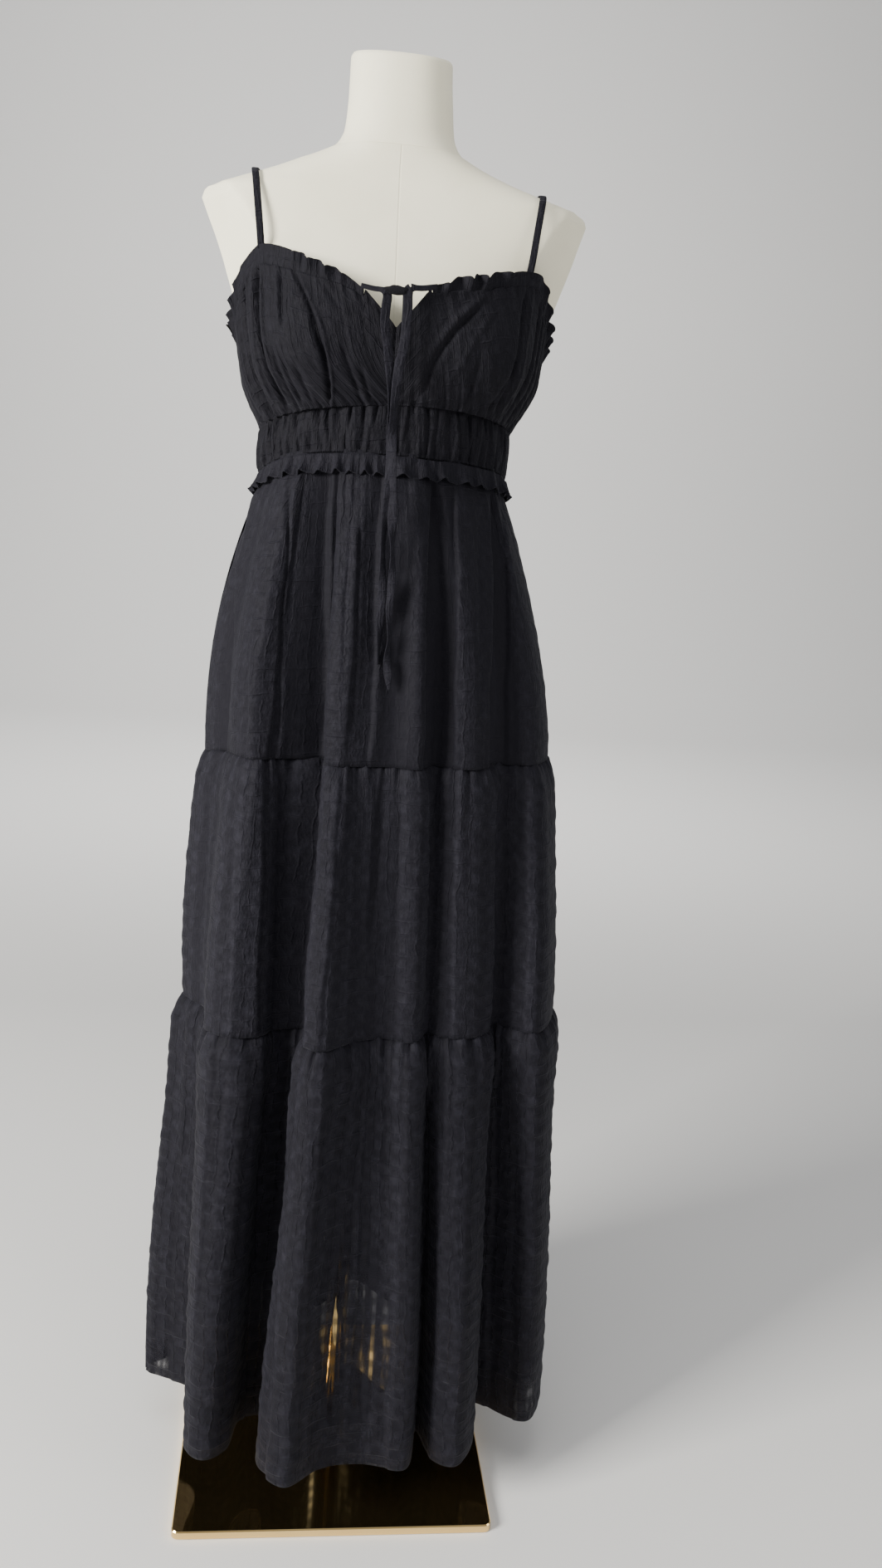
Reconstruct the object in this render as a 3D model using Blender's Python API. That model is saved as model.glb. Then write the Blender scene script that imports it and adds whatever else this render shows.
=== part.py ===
"""A tiered maxi dress worn by a limbless dress form on a pole and a square plate.

Metres, +Z up. The front faces -Y and +X is the right-hand side as seen from the front. The origin
is the centre of the plate's underside and the pole's axis is the Z axis. Cloth pieces are closed
walls worked out from ovals, a table of the skirt's folds and short tables of heights. Left and
right are the viewer's, from the front.
"""
import bpy
import numpy as np

MM = 0.001

# stand
PLATE_SIDE = 0.350
PLATE_THICKNESS = 0.010
PLATE_CORNER = 0.008
PLATE_EDGE = 0.0012
POLE_RADIUS = 0.0125
POLE_SIDES = 24

# general
SEAM_GAP = 0.0004       # between pieces that are sewn or set together
CLOTH = 0.0016          # thickness of a cloth wall, gathered cloth counted flat
FRILL = 0.0018          # thickness of a ruffle wall

# dress form
FORM_BOTTOM = 0.790
NECK_SEAM = 1.436
FORM_ROUND = 2.3        # exponent of the form's rounded sections
ARM_PLATE_TOP = 1.390   # height where the arm plates are farthest apart
ARM_PLATE_FOOT = 1.240   # nothing is cut flat below this height
ARM_PLATE_HALF = 0.1945
ARM_PLATE_LEAN = 0.33   # how fast the plates come together below that height
ARM_PLATE_TOE = 0.78    # how fast they turn in toward the front
ARM_PLATE_HEEL = 0.30   # and toward the back
FORM_COLUMNS = 32
FORM_ROWS = 20
BUST_BEARING = 38.0     # degrees either side of the front
BUST_SPREAD = 24.0
BUST_HEIGHT = 1.245
BUST_RISE = 0.060       # height over which the bust fades
FORM_BUST = 0.011
DRESS_BUST = 0.017

# height, centre x, half width, depth in front of the pole, depth behind it
FORM_SECTIONS = np.array([
    (0.790, 0.000, 0.144, 0.070, 0.086),
    (0.815, 0.000, 0.154, 0.076, 0.094),
    (0.870, 0.000, 0.159, 0.079, 0.099),
    (0.950, -0.001, 0.156, 0.080, 0.097),
    (1.040, -0.004, 0.138, 0.077, 0.086),
    (1.120, -0.006, 0.118, 0.073, 0.076),
    (1.165, -0.006, 0.115, 0.073, 0.073),
    (1.200, -0.007, 0.118, 0.077, 0.076),
    (1.240, -0.008, 0.130, 0.087, 0.083),
    (1.280, -0.009, 0.146, 0.089, 0.088),
    (1.310, -0.010, 0.168, 0.082, 0.091),
    (1.345, -0.010, 0.192, 0.071, 0.091),
    (1.375, -0.011, 0.205, 0.061, 0.083),
    (1.395, -0.0115, 0.195, 0.055, 0.069),
    (1.406, -0.0110, 0.160, 0.051, 0.060),
    (1.416, -0.0105, 0.122, 0.050, 0.056),
    (1.427, -0.0105, 0.089, 0.050, 0.054),
    (1.436, -0.0105, 0.068, 0.051, 0.053),
])
NECK_SECTIONS = np.array([
    (1.4364, -0.0105, 0.0660, 0.0500, 0.0520),
    (1.4440, -0.0105, 0.0590, 0.0485, 0.0500),
    (1.4560, -0.0105, 0.0538, 0.0468, 0.0480),
    (1.4800, -0.0108, 0.0512, 0.0458, 0.0468),
    (1.5050, -0.0118, 0.0498, 0.0452, 0.0462),
    (1.5215, -0.0122, 0.0492, 0.0448, 0.0458),
    (1.5250, -0.0122, 0.0474, 0.0430, 0.0440),
])
NECK_SLOPE = 0.18       # the neck's flat top falls toward the front

# waistband: its two seams tilt, higher in front and a little higher on the right
WAIST_CENTRE = -0.0065
WAIST_HALF = 0.1262
WAIST_FRONT = 0.0950
WAIST_BACK = 0.0880
BAND_TOP = (1.179, 0.020, 0.0085)      # mean height, rise to the front, rise to the right
BAND_BOTTOM = (1.129, 0.018, 0.0060)
BAND_BULGE = 0.0022
BAND_PUCKER = 0.0013
BAND_PUCKERS = {"front": 19, "back": 15}

# bodice: height above the band's top seam, half width, depth in front, depth behind
BODICE_SECTIONS = np.array([
    (-0.010, 0.1262, 0.0950, 0.0880),
    (0.000, 0.1275, 0.0965, 0.0890),
    (0.018, 0.1365, 0.1035, 0.0940),
    (0.040, 0.1460, 0.1090, 0.0980),
    (0.070, 0.1515, 0.1110, 0.1000),
    (0.100, 0.1560, 0.1110, 0.1010),
    (0.135, 0.1590, 0.1130, 0.1010),
    (0.170, 0.1590, 0.1110, 0.1000),
])
BODICE_CENTRE = -0.0068
# bearing in degrees from the front, height of the top edge, height of the ruffle that ends there
TOP_EDGE = np.array([
    (-180.0, 1.250, 0.013),
    (-130.0, 1.251, 0.013),
    (-105.0, 1.257, 0.013),
    (-90.0, 1.270, 0.014),
    (-76.0, 1.298, 0.016),
    (-66.0, 1.317, 0.017),
    (-53.0, 1.333, 0.018),
    (-40.0, 1.327, 0.017),
    (-30.0, 1.318, 0.014),
    (-20.0, 1.308, 0.010),
    (-12.0, 1.296, 0.006),
    (12.0, 1.304, 0.007),
    (20.0, 1.313, 0.011),
    (30.0, 1.319, 0.013),
    (42.0, 1.327, 0.013),
    (57.0, 1.331, 0.013),
    (68.0, 1.316, 0.013),
    (78.0, 1.294, 0.013),
    (90.0, 1.270, 0.014),
    (105.0, 1.257, 0.013),
    (130.0, 1.251, 0.013),
    (180.0, 1.250, 0.013),
])
V_BEARING = -0.9        # the notch's lowest point, degrees
V_HEIGHT = 1.264
V_HALF = 11.5           # half the notch's width, degrees
CUP_COLUMNS = 22        # under the ruffle
NOTCH_COLUMNS = 5
CUP_ROWS = 6
BODICE_BACK_COLUMNS = 20
BODICE_BACK_ROWS = 4
BODICE_GATHER = 0.0020
GATHER_FADE = 0.030     # height over which gathers fade away from a seam
# side, bearing of a long crease at its top and at its foot, depth, half width in degrees
CUP_CREASES = [
    ("left", -58.0, -56.0, 0.0045, 3.4),
    ("left", -33.0, -25.0, 0.0060, 4.0),
    ("right", 32.0, 12.0, 0.0040, 4.5),
    ("right", 62.0, 56.0, 0.0035, 3.6),
]

# ruffles: waves, wave height at the free edge, how far the free edge leans out
NECK_RUFFLE_WAVES = {"left": 11, "right": 11, "back": 10}
NECK_RUFFLE_WAVE = 0.0024
NECK_RUFFLE_LEAN = 0.0015
UNDERARM_FLARE = 0.0030
UNDERARM_BEARING = 84.0
UNDERARM_SPREAD = 16.0
WAIST_RUFFLE_WAVES = {"front": 14, "back": 12}
WAIST_RUFFLE_DROP = 0.0200
WAIST_RUFFLE_WAVE = 0.0028
WAIST_RUFFLE_LEAN = 0.0028
WAIST_RUFFLE_OFF = 0.0062

# skirt
SEAM_1 = 0.8475
SEAM_2 = 0.5575
HEM = 0.0750
TIER_EASE = {1: 2.0, 2: 1.6, 3: 1.5}    # how early a tier reaches its lower width
TIER_LAG = {1: 0.05, 2: 0.0, 3: 0.0}    # share of a tier that hangs straight first
RIGHT_LAG = 2.6         # how much later the right side of tier 1 spreads, per metre
PUFF = {1: 0.0, 2: 0.0045, 3: 0.0065}   # swell of the gathered cloth below a seam
PUFF_DEPTH = 0.030
TIER_GATHER = {1: 0.0, 2: 0.0019, 3: 0.0019}
TIER_GATHER_FADE = 0.035
GATHER_COLUMNS = 3      # wall columns to one gather
WAIST_FOLD_SHARE = 0.22                 # how much of a fold is left at the waist
WAIST_FOLD = 0.0018                     # and the most that it is
WAIST_FAN = 4.5                         # degrees by which the folds spread up to the waist
FRONT_STEPS = 3                         # wall columns between two turns of the front
BACK_STEPS = 3
SEAM_STEP = 0.004       # a panel stops this share of a turn before a side seam
# heights of the wall's rows, as shares of a tier from its top
TIER_ROWS = {
    1: (0.0, 0.16, 0.38, 0.66, 1.0),
    2: (0.0, 0.06, 0.22, 0.56, 1.0),
    3: (0.0, 0.045, 0.16, 0.40, 0.70, 1.0),
}
# Front of the skirt, a row for each turn of its wall seen from above, left seam to right seam.
# name, then millimetres right of the pole and in front of it at seam 1, at seam 2 and at the hem
FRONT_TURNS = [
    ("left_seam", -178, 0, -193, 0, -224, -4),
    ("valley_1", -150, 52, -163, 50, -160, 40),
    ("fold_a_left", -142, 78, -160, 99, -166, 126),
    ("fold_a", -126, 97, -134, 119, -147, 145),
    ("fold_a_right", -109, 93, -101, 112, -122, 132),
    ("valley_2_left", -101, 83, -93, 90, -110, 80),
    ("valley_2_right", -60, 85, -68, 86, -100, 70),
    ("fold_b_left", -50, 108, -60, 130, -88, 152),
    ("fold_b", -38, 117, -42, 148, -58, 188),
    ("fold_b_right", -14, 112, -8, 124, -20, 162),
    ("hollow_b", 12, 107, 22, 113, 30, 152),
    ("fold_b2", 40, 114, 54, 121, 74, 165),
    ("valley_3", 59, 91, 68, 93, 91, 104),
    ("fold_c_left", 77, 101, 82, 104, 106, 148),
    ("fold_c", 96, 102, 108, 108, 130, 159),
    ("fold_c_right", 114, 88, 134, 94, 153, 128),
    ("valley_4", 130, 68, 147, 68, 160, 58),
    ("fold_d", 166, 62, 190, 88, 222, 92),
    ("right_seam", 192, 8, 223, 8, 250, 14),
]
# Back of the skirt: bearing of a turn and its reach past the oval at the hem, in millimetres
BACK_TURNS = [
    (104, -24), (119, 24), (133, -28), (149, 32), (162, -26), (177, 20), (191, -32), (207, 34),
    (222, -24), (238, 26), (253, -22),
]
BACK_SHARE = (0.30, 0.62, 1.0)          # the reach at seam 1, at seam 2 and at the hem
# centre x, half width, depth in front, depth behind at seam 1, at seam 2 and at the hem
SKIRT_OVALS = np.array([
    (0.0085, 0.186, 0.107, 0.128),
    (0.0155, 0.210, 0.112, 0.140),
    (0.0173, 0.2418, 0.135, 0.158),
])

# straps and ties
STRAP_WIDTH = 0.0068
STRAP_THICKNESS = 0.0018
# points of each strap's middle line, from its front end over the shoulder to the back
STRAP_ROUTE = {
    "left": [(-0.1378, -0.0740, 1.3345), (-0.1410, -0.0630, 1.3650), (-0.1447, -0.0462, 1.3972),
             (-0.1465, -0.0300, 1.4105), (-0.1460, -0.0106, 1.4146), (-0.1447, 0.0092, 1.4152),
             (-0.1429, 0.0278, 1.4131), (-0.1357, 0.0580, 1.3985), (-0.1300, 0.0742, 1.3772),
             (-0.1230, 0.0830, 1.3500), (-0.1080, 0.0880, 1.3000), (-0.0940, 0.0895, 1.2515)],
    "right": [(0.1190, -0.0740, 1.3325), (0.1225, -0.0630, 1.3650), (0.1269, -0.0447, 1.3984),
              (0.1288, -0.0292, 1.4098), (0.1290, -0.0107, 1.4134), (0.1286, 0.0090, 1.4137),
              (0.1273, 0.0276, 1.4116), (0.1193, 0.0572, 1.3976), (0.1131, 0.0735, 1.3777),
              (0.1060, 0.0815, 1.3500), (0.0910, 0.0875, 1.3000), (0.0780, 0.0930, 1.2515)],
}
STRAP_STEPS = 23
TIE_RADIUS = 0.0022
TIE_SPACING = 0.0130
KNOT_CENTRE = (-0.0055, -0.1235, 1.2965)
KNOT_SIZE = (0.0075, 0.0048, 0.0050)
NECK_TIE_LEFT = [(-0.0400, -0.1215, 1.2950), (-0.0270, -0.1232, 1.2940), (-0.0136, -0.1238, 1.2950)]
NECK_TIE_RIGHT = [(0.0026, -0.1238, 1.2975), (0.0120, -0.1230, 1.2990), (0.0235, -0.1205, 1.3010)]
TIE_END_LEFT = [
    (-0.0095, -0.1240, 1.2915), (-0.0150, -0.1255, 1.2790), (-0.0176, -0.1260, 1.2640),
    (-0.0150, -0.1260, 1.2360), (-0.0115, -0.1255, 1.1890), (-0.0085, -0.1250, 1.1550),
    (-0.0062, -0.1248, 1.1190), (-0.0085, -0.1245, 1.1000), (-0.0092, -0.1242, 1.0700),
    (-0.0075, -0.1240, 1.0280), (-0.0072, -0.1238, 0.9990), (-0.0070, -0.1236, 0.9510),
]
TIE_END_RIGHT = [
    (-0.0015, -0.1240, 1.2915), (-0.0015, -0.1258, 1.2750), (-0.0030, -0.1262, 1.2500),
    (-0.0055, -0.1262, 1.2250), (-0.0040, -0.1258, 1.1800), (-0.0010, -0.1252, 1.1400),
    (0.0004, -0.1248, 1.1000), (0.0025, -0.1244, 1.0430), (0.0012, -0.1242, 1.0100),
    (0.0022, -0.1240, 0.9790), (0.0016, -0.1238, 0.9560), (0.0056, -0.1236, 0.9260),
]


# Curves

def rows_at(table, at):
    """Smooth values of a table's other columns where its first column is at, without overshoot."""
    key, values = table[:, 0], table[:, 1:]
    at = np.clip(np.asarray(at, float), key[0], key[-1])
    steps = np.diff(key)[:, None]
    slopes = np.diff(values, axis=0) / steps
    tangents = np.zeros_like(values)
    rising = slopes[:-1] * slopes[1:] > 0
    both = slopes[:-1] + slopes[1:]
    safe = np.where(rising, both, 1.0)
    tangents[1:-1] = np.where(rising, 2.0 * slopes[:-1] * slopes[1:] / safe, 0.0)
    tangents[0], tangents[-1] = slopes[0], slopes[-1]
    i = np.clip(np.searchsorted(key, at, side="right") - 1, 0, len(key) - 2)
    u = ((at - key[i]) / np.diff(key)[i])[..., None]
    h = steps[i]
    return (values[i] * (1 + 2 * u) * (1 - u) ** 2 + tangents[i] * h * u * (1 - u) ** 2
            + values[i + 1] * u * u * (3 - 2 * u) + tangents[i + 1] * h * u * u * (u - 1))


def through(points, at, closed):
    """Smooth curve through points, at counted in points; steps of uneven length stay smooth."""
    points = np.asarray(points, float)
    n = len(points)
    if not closed:
        first, last = 2 * points[0] - points[1], 2 * points[-1] - points[-2]
        points = np.vstack([first, points, last])
        at = np.clip(np.asarray(at, float), 0, n - 1.000001) + 1
        n += 2
    i = np.floor(at).astype(int)
    u = (np.asarray(at, float) - i)[..., None]
    p0, p1, p2, p3 = (points[(i + k) % n] for k in (-1, 0, 1, 2))
    d01, d12, d23 = (np.sqrt(np.linalg.norm(b - a, axis=-1))[..., None] + 1e-6
                     for a, b in ((p0, p1), (p1, p2), (p2, p3)))
    m1 = d12 * ((p1 - p0) / d01 - (p2 - p0) / (d01 + d12) + (p2 - p1) / d12)
    m2 = d12 * ((p2 - p1) / d12 - (p3 - p1) / (d12 + d23) + (p3 - p2) / d23)
    return (p1 * (1 + 2 * u) * (1 - u) ** 2 + m1 * u * (1 - u) ** 2
            + p2 * u * u * (3 - 2 * u) + m2 * u * u * (u - 1))


def oval(bearing, centre, half, front, back):
    """Point of an oval at a bearing from the front, and the outward direction there."""
    s, c = np.sin(bearing), np.cos(bearing)
    depth = np.where(c >= 0, front, back)
    point = np.stack([centre + half * s, -depth * c], axis=-1)
    out = np.stack([s / half, -c / depth], axis=-1)
    return point, out / np.linalg.norm(out, axis=-1, keepdims=True)


def zigzag(count, waves):
    """Heights from -1 to 1 of a row of waves, for columns 0 to count."""
    return np.cos(np.arange(count + 1) * 2 * np.pi * waves / count)


# Meshes

def material(name, colour, roughness, metallic):
    made = bpy.data.materials.get(name) or bpy.data.materials.new(name)
    made.use_nodes = True
    shader = made.node_tree.nodes["Principled BSDF"]
    shader.inputs["Base Color"].default_value = (*colour, 1.0)
    shader.inputs["Roughness"].default_value = roughness
    shader.inputs["Metallic"].default_value = metallic
    made.diffuse_color = (*colour, 1.0)
    return made


def add(name, points, faces, look, smooth):
    """A named object from points and faces; the faces are turned outward if they point inward."""
    points = np.asarray(points, float)
    volume = 0.0
    for face in faces:
        a = points[face[0]]
        for k in range(1, len(face) - 1):
            volume += np.dot(a, np.cross(points[face[k]], points[face[k + 1]]))
    if volume < 0:
        faces = [face[::-1] for face in faces]
    mesh = bpy.data.meshes.new(name)
    mesh.from_pydata([tuple(p) for p in points], [], faces)
    mesh.materials.append(look)
    if smooth:
        mesh.shade_smooth()
    thing = bpy.data.objects.new(name, mesh)
    bpy.context.scene.collection.objects.link(thing)
    return thing


def wall(name, middle, outward, thickness, look):
    """Closed wall: a grid of middle points moved out and in along the given directions."""
    rows, columns = middle.shape[:2]
    outer = middle + outward * thickness / 2
    inner = middle - outward * thickness / 2
    points = np.concatenate([outer.reshape(-1, 3), inner.reshape(-1, 3)])
    base = rows * columns
    faces = []
    for r in range(rows - 1):
        for c in range(columns - 1):
            a, b = r * columns + c, r * columns + c + 1
            d, e = a + columns, b + columns
            faces.append((a, b, e))
            faces.append((a, e, d))
            faces.append((base + a, base + e, base + b))
            faces.append((base + a, base + d, base + e))
    rim = [c for c in range(columns)]
    rim += [r * columns + columns - 1 for r in range(1, rows)]
    rim += [(rows - 1) * columns + c for c in range(columns - 2, -1, -1)]
    rim += [r * columns for r in range(rows - 2, 0, -1)]
    for a, b in zip(rim, rim[1:] + rim[:1]):
        faces.append((b, a, base + a))
        faces.append((b, base + a, base + b))
    return add(name, points, faces, look, False)


def stack(name, rings, look):
    """Closed solid from rings of points, one above the other, with flat ends."""
    rows, columns = rings.shape[:2]
    points = rings.reshape(-1, 3)
    faces = []
    for r in range(rows - 1):
        for c in range(columns):
            d = (c + 1) % columns
            faces.append((r * columns + c, r * columns + d, (r + 1) * columns + d,
                          (r + 1) * columns + c))
    faces.append(tuple(range(columns - 1, -1, -1)))
    faces.append(tuple((rows - 1) * columns + c for c in range(columns)))
    return add(name, points, faces, look, True)


def cord(name, route, radius, spacing, look):
    """Round cord along a smooth route, closed at both ends."""
    route = np.array(route)
    fine = through(route, np.linspace(0, len(route) - 1, 400), False)
    length = np.concatenate([[0], np.cumsum(np.linalg.norm(np.diff(fine, axis=0), axis=1))])
    count = max(4, int(round(length[-1] / spacing)) + 1)
    even = [np.interp(np.linspace(0, length[-1], count), length, fine[:, k]) for k in range(3)]
    curve = bpy.data.curves.new(name, "CURVE")
    curve.dimensions = "3D"
    curve.bevel_depth = radius
    curve.bevel_resolution = 2
    curve.use_fill_caps = True
    spline = curve.splines.new("POLY")
    spline.points.add(count - 1)
    for k, p in enumerate(zip(*even)):
        spline.points[k].co = (*p, 1.0)
    curve.materials.append(look)
    thing = bpy.data.objects.new(name, curve)
    bpy.context.scene.collection.objects.link(thing)
    return thing


# Stand

def stand(brass):
    bpy.ops.mesh.primitive_cube_add(size=1.0)
    plate = bpy.context.object
    plate.name = "stand_plate"
    plate.scale = (PLATE_SIDE, PLATE_SIDE, PLATE_THICKNESS)
    plate.location = (0.0, 0.0, PLATE_THICKNESS / 2)
    bpy.ops.object.transform_apply(location=True, rotation=False, scale=True)
    corners = plate.modifiers.new("corners", "BEVEL")
    corners.affect = "EDGES"
    corners.limit_method = "WEIGHT"
    corners.width = PLATE_CORNER
    corners.segments = 4
    weights = plate.data.attributes.new("bevel_weight_edge", "FLOAT", "EDGE")
    for edge in plate.data.edges:
        a, b = (plate.data.vertices[v].co for v in edge.vertices)
        weights.data[edge.index].value = 1.0 if abs(a.z - b.z) > PLATE_EDGE else 0.0
    rim = plate.modifiers.new("rim", "BEVEL")
    rim.limit_method = "ANGLE"
    rim.width = PLATE_EDGE
    rim.segments = 1
    plate.data.materials.append(brass)
    bottom, top = PLATE_THICKNESS + SEAM_GAP, FORM_BOTTOM - SEAM_GAP
    turn = np.linspace(0, 2 * np.pi, POLE_SIDES, endpoint=False)
    circle = np.stack([np.cos(turn), np.sin(turn)], axis=1) * POLE_RADIUS
    rings = [np.column_stack([circle, np.full(POLE_SIDES, z)]) for z in (bottom, top)]
    stack("stand_pole", np.array(rings), brass)


# Dress form

def bust(bearing, height, depth):
    """How far the bust stands out at a bearing and a height."""
    off = (np.abs(np.degrees(bearing)) - BUST_BEARING) / BUST_SPREAD
    rise = (height - BUST_HEIGHT) / BUST_RISE
    return depth * np.exp(-off ** 2 - rise ** 2)


def form_ring(sections, z, columns):
    """One level section of the form: a rounded oval, cut flat where the arms would start."""
    centre, half, front, back = rows_at(sections, z)
    bearing = np.linspace(-np.pi, np.pi, columns, endpoint=False)
    s, c = np.sin(bearing), np.cos(bearing)
    power = 2 / FORM_ROUND
    x = half * np.sign(s) * np.abs(s) ** power
    y = -np.where(c >= 0, front, back) * np.sign(c) * np.abs(c) ** power
    y = y - np.where(c > 0, bust(bearing, z, FORM_BUST), 0.0)
    plate = ARM_PLATE_HALF - ARM_PLATE_LEAN * np.abs(ARM_PLATE_TOP - z)
    plate = plate - np.where(y < 0, ARM_PLATE_TOE * -y, ARM_PLATE_HEEL * y)
    reach = plate if z > ARM_PLATE_FOOT else half
    x = np.clip(x, -reach, reach)
    return np.column_stack([centre + x, y, np.full(columns, z)])


def dress_form(cover):
    heights = np.concatenate([[0.790, 0.800, 0.825], np.linspace(0.870, 1.240, 7),
                              np.linspace(1.262, 1.395, 8), [1.407, 1.418, 1.428, 1.436]])
    rings = [form_ring(FORM_SECTIONS, z, FORM_COLUMNS) for z in heights]
    stack("form_torso", np.array(rings), cover)
    low, high = NECK_SECTIONS[0, 0], NECK_SECTIONS[-1, 0]
    neck = []
    for z in NECK_SECTIONS[:, 0]:
        ring = form_ring(NECK_SECTIONS, z, FORM_COLUMNS)
        ring[:, 2] += NECK_SLOPE * ring[:, 1] * ((z - low) / (high - low)) ** 2
        neck.append(ring)
    stack("form_neck", np.array(neck), cover)


# Heights of the seams

def seam_height(seam, bearing):
    mean, front, right = seam
    return mean + front * np.cos(bearing) + right * np.sin(bearing)


def top_edge(bearing):
    """Height of the dress's top edge, and the ruffle's height there, with the notch in front."""
    degrees = np.degrees(bearing)
    edge, ruffle = np.moveaxis(rows_at(TOP_EDGE, degrees), -1, 0)
    into = np.clip(1 - np.abs(degrees - V_BEARING) / V_HALF, 0, 1)
    notch = edge - V_HEIGHT
    edge = edge - notch * into
    return edge, np.where(into > 0, 0.0, ruffle)


# Bodice

def bodice_surface(bearing, height):
    """Points and outward directions of the bodice, without its gathers."""
    above = height - seam_height(BAND_TOP, bearing)
    half, front, back = np.moveaxis(rows_at(BODICE_SECTIONS, above), -1, 0)
    point, out = oval(bearing, BODICE_CENTRE, half, front, back)
    point = point + out * bust(bearing, height, DRESS_BUST)[..., None]
    zeros = np.zeros_like(height)
    return np.concatenate([point, height[..., None]], axis=-1), np.stack(
        [out[..., 0], out[..., 1], zeros], axis=-1)


def creases(bearing, share):
    """Depth of the long creases of a cup at a bearing, share being the height from seam to top."""
    depth = np.zeros_like(share + bearing)
    for side, top, foot, deep, spread in CUP_CREASES:
        line = foot + (top - foot) * share
        off = (np.degrees(bearing) - line) / spread
        depth += deep * np.exp(-off ** 2) * np.sin(np.pi * np.clip(share * 0.9 + 0.08, 0, 1))
    return depth


def bodice_panel(name, degrees, rows, cloth):
    columns = len(degrees) - 1
    bearing = np.radians(degrees)
    folded = np.where(bearing > np.pi, bearing - 2 * np.pi, bearing)
    low = seam_height(BAND_TOP, bearing) + SEAM_GAP / 2
    edge, ruffle = top_edge(folded)
    high = edge - ruffle - SEAM_GAP / 2
    share = np.linspace(0, 1, rows + 1)[:, None]
    height = low + (high - low) * share
    points, out = bodice_surface(np.broadcast_to(folded, height.shape), height)
    wave = zigzag(columns, columns / 2)
    fade = np.exp(-(height - low) / GATHER_FADE) + 0.5 * np.exp(-(high - height) / GATHER_FADE)
    move = BODICE_GATHER * wave * fade - creases(folded, share)
    wall(name, points + out * move[..., None], out, CLOTH, cloth)


def neck_ruffle(name, degrees, waves, cloth):
    """Ruffle on a panel's top edge, two of its columns to each of the panel's."""
    columns = 2 * (len(degrees) - 1)
    bearing = np.radians(np.interp(np.arange(columns + 1) / 2, np.arange(len(degrees)), degrees))
    folded = np.where(bearing > np.pi, bearing - 2 * np.pi, bearing)
    edge, tall = top_edge(folded)
    share = np.array([0.0, 0.5, 1.0])[:, None]
    low = edge - tall + SEAM_GAP / 2
    low[1::2] = (low[:-1:2] + low[2::2]) / 2
    height = low + (edge - low) * share
    points, out = bodice_surface(np.broadcast_to(folded, height.shape), height)
    side = np.exp(-((np.abs(np.degrees(folded)) - UNDERARM_BEARING) / UNDERARM_SPREAD) ** 2)
    lean = (NECK_RUFFLE_LEAN + UNDERARM_FLARE * side) * share
    wave = NECK_RUFFLE_WAVE * zigzag(columns, waves) * (0.15 + 0.85 * share)
    points = points + out * (lean + wave)[..., None]
    wall(name, points, out, FRILL, cloth)


# Waistband

def waistband(name, start, end, puckers, cloth):
    columns = 2 * puckers
    bearing = np.radians(np.linspace(start, end, columns + 1))
    low = seam_height(BAND_BOTTOM, bearing) + SEAM_GAP / 2
    high = seam_height(BAND_TOP, bearing) - SEAM_GAP / 2
    share = np.array([0.0, 0.33, 0.67, 1.0])[:, None]
    height = low + (high - low) * share
    point, out = oval(bearing, WAIST_CENTRE, WAIST_HALF, WAIST_FRONT, WAIST_BACK)
    round_out = np.sin(np.pi * share)
    move = BAND_BULGE * round_out + BAND_PUCKER * zigzag(columns, puckers) * (0.3 + 0.7 * round_out)
    out = np.column_stack([out, np.zeros(columns + 1)])
    points = np.concatenate([np.broadcast_to(point, (*height.shape, 2)), height[..., None]], axis=-1)
    points = points + out * move[..., None]
    wall(name, points, np.broadcast_to(out, points.shape), CLOTH, cloth)


# Skirt

def skirt_turns():
    """Turns of the whole skirt wall at the waist, at seam 1, at seam 2 and at the hem.

    With them come the same turns on the plain ovals of the waist and of seam 1.
    """
    levels = []
    for k in range(3):
        centre, half, front, back = SKIRT_OVALS[k]
        turns = [(row[1 + 2 * k] * MM, -row[2 + 2 * k] * MM) for row in FRONT_TURNS]
        for degrees, reach in BACK_TURNS:
            point, out = oval(np.radians(degrees), centre, half, front, back)
            turns.append(tuple(point + out * reach * BACK_SHARE[k] * MM))
        levels.append(np.array(turns))
    centre, half, front, back = SKIRT_OVALS[0]
    x, y = levels[0][:, 0] - centre, levels[0][:, 1]
    bearing = np.arctan2(x / half, -y / np.where(y < 0, front, back))
    point, out = oval(bearing, centre, half, front, back)
    reach = np.sum((levels[0] - point) * out, axis=1)
    bearing = bearing + np.radians(WAIST_FAN) * np.sin(2 * bearing)
    plain, out = oval(bearing, WAIST_CENTRE, WAIST_HALF, WAIST_FRONT, WAIST_BACK)
    waist = plain + out * np.clip(reach * WAIST_FOLD_SHARE, -WAIST_FOLD, WAIST_FOLD)[:, None]
    return [waist] + levels, [plain, point]


def tier_heights(tier, waist_line, share):
    """Height of a tier's wall at a share of the way down from its top seam."""
    level = np.zeros_like(waist_line)
    top = {1: waist_line, 2: level + SEAM_1, 3: level + SEAM_2}[tier] - SEAM_GAP / 2
    bottom = {1: SEAM_1, 2: SEAM_2, 3: HEM}[tier] + (SEAM_GAP / 2 if tier < 3 else 0)
    return top + (bottom - top) * share


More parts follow.
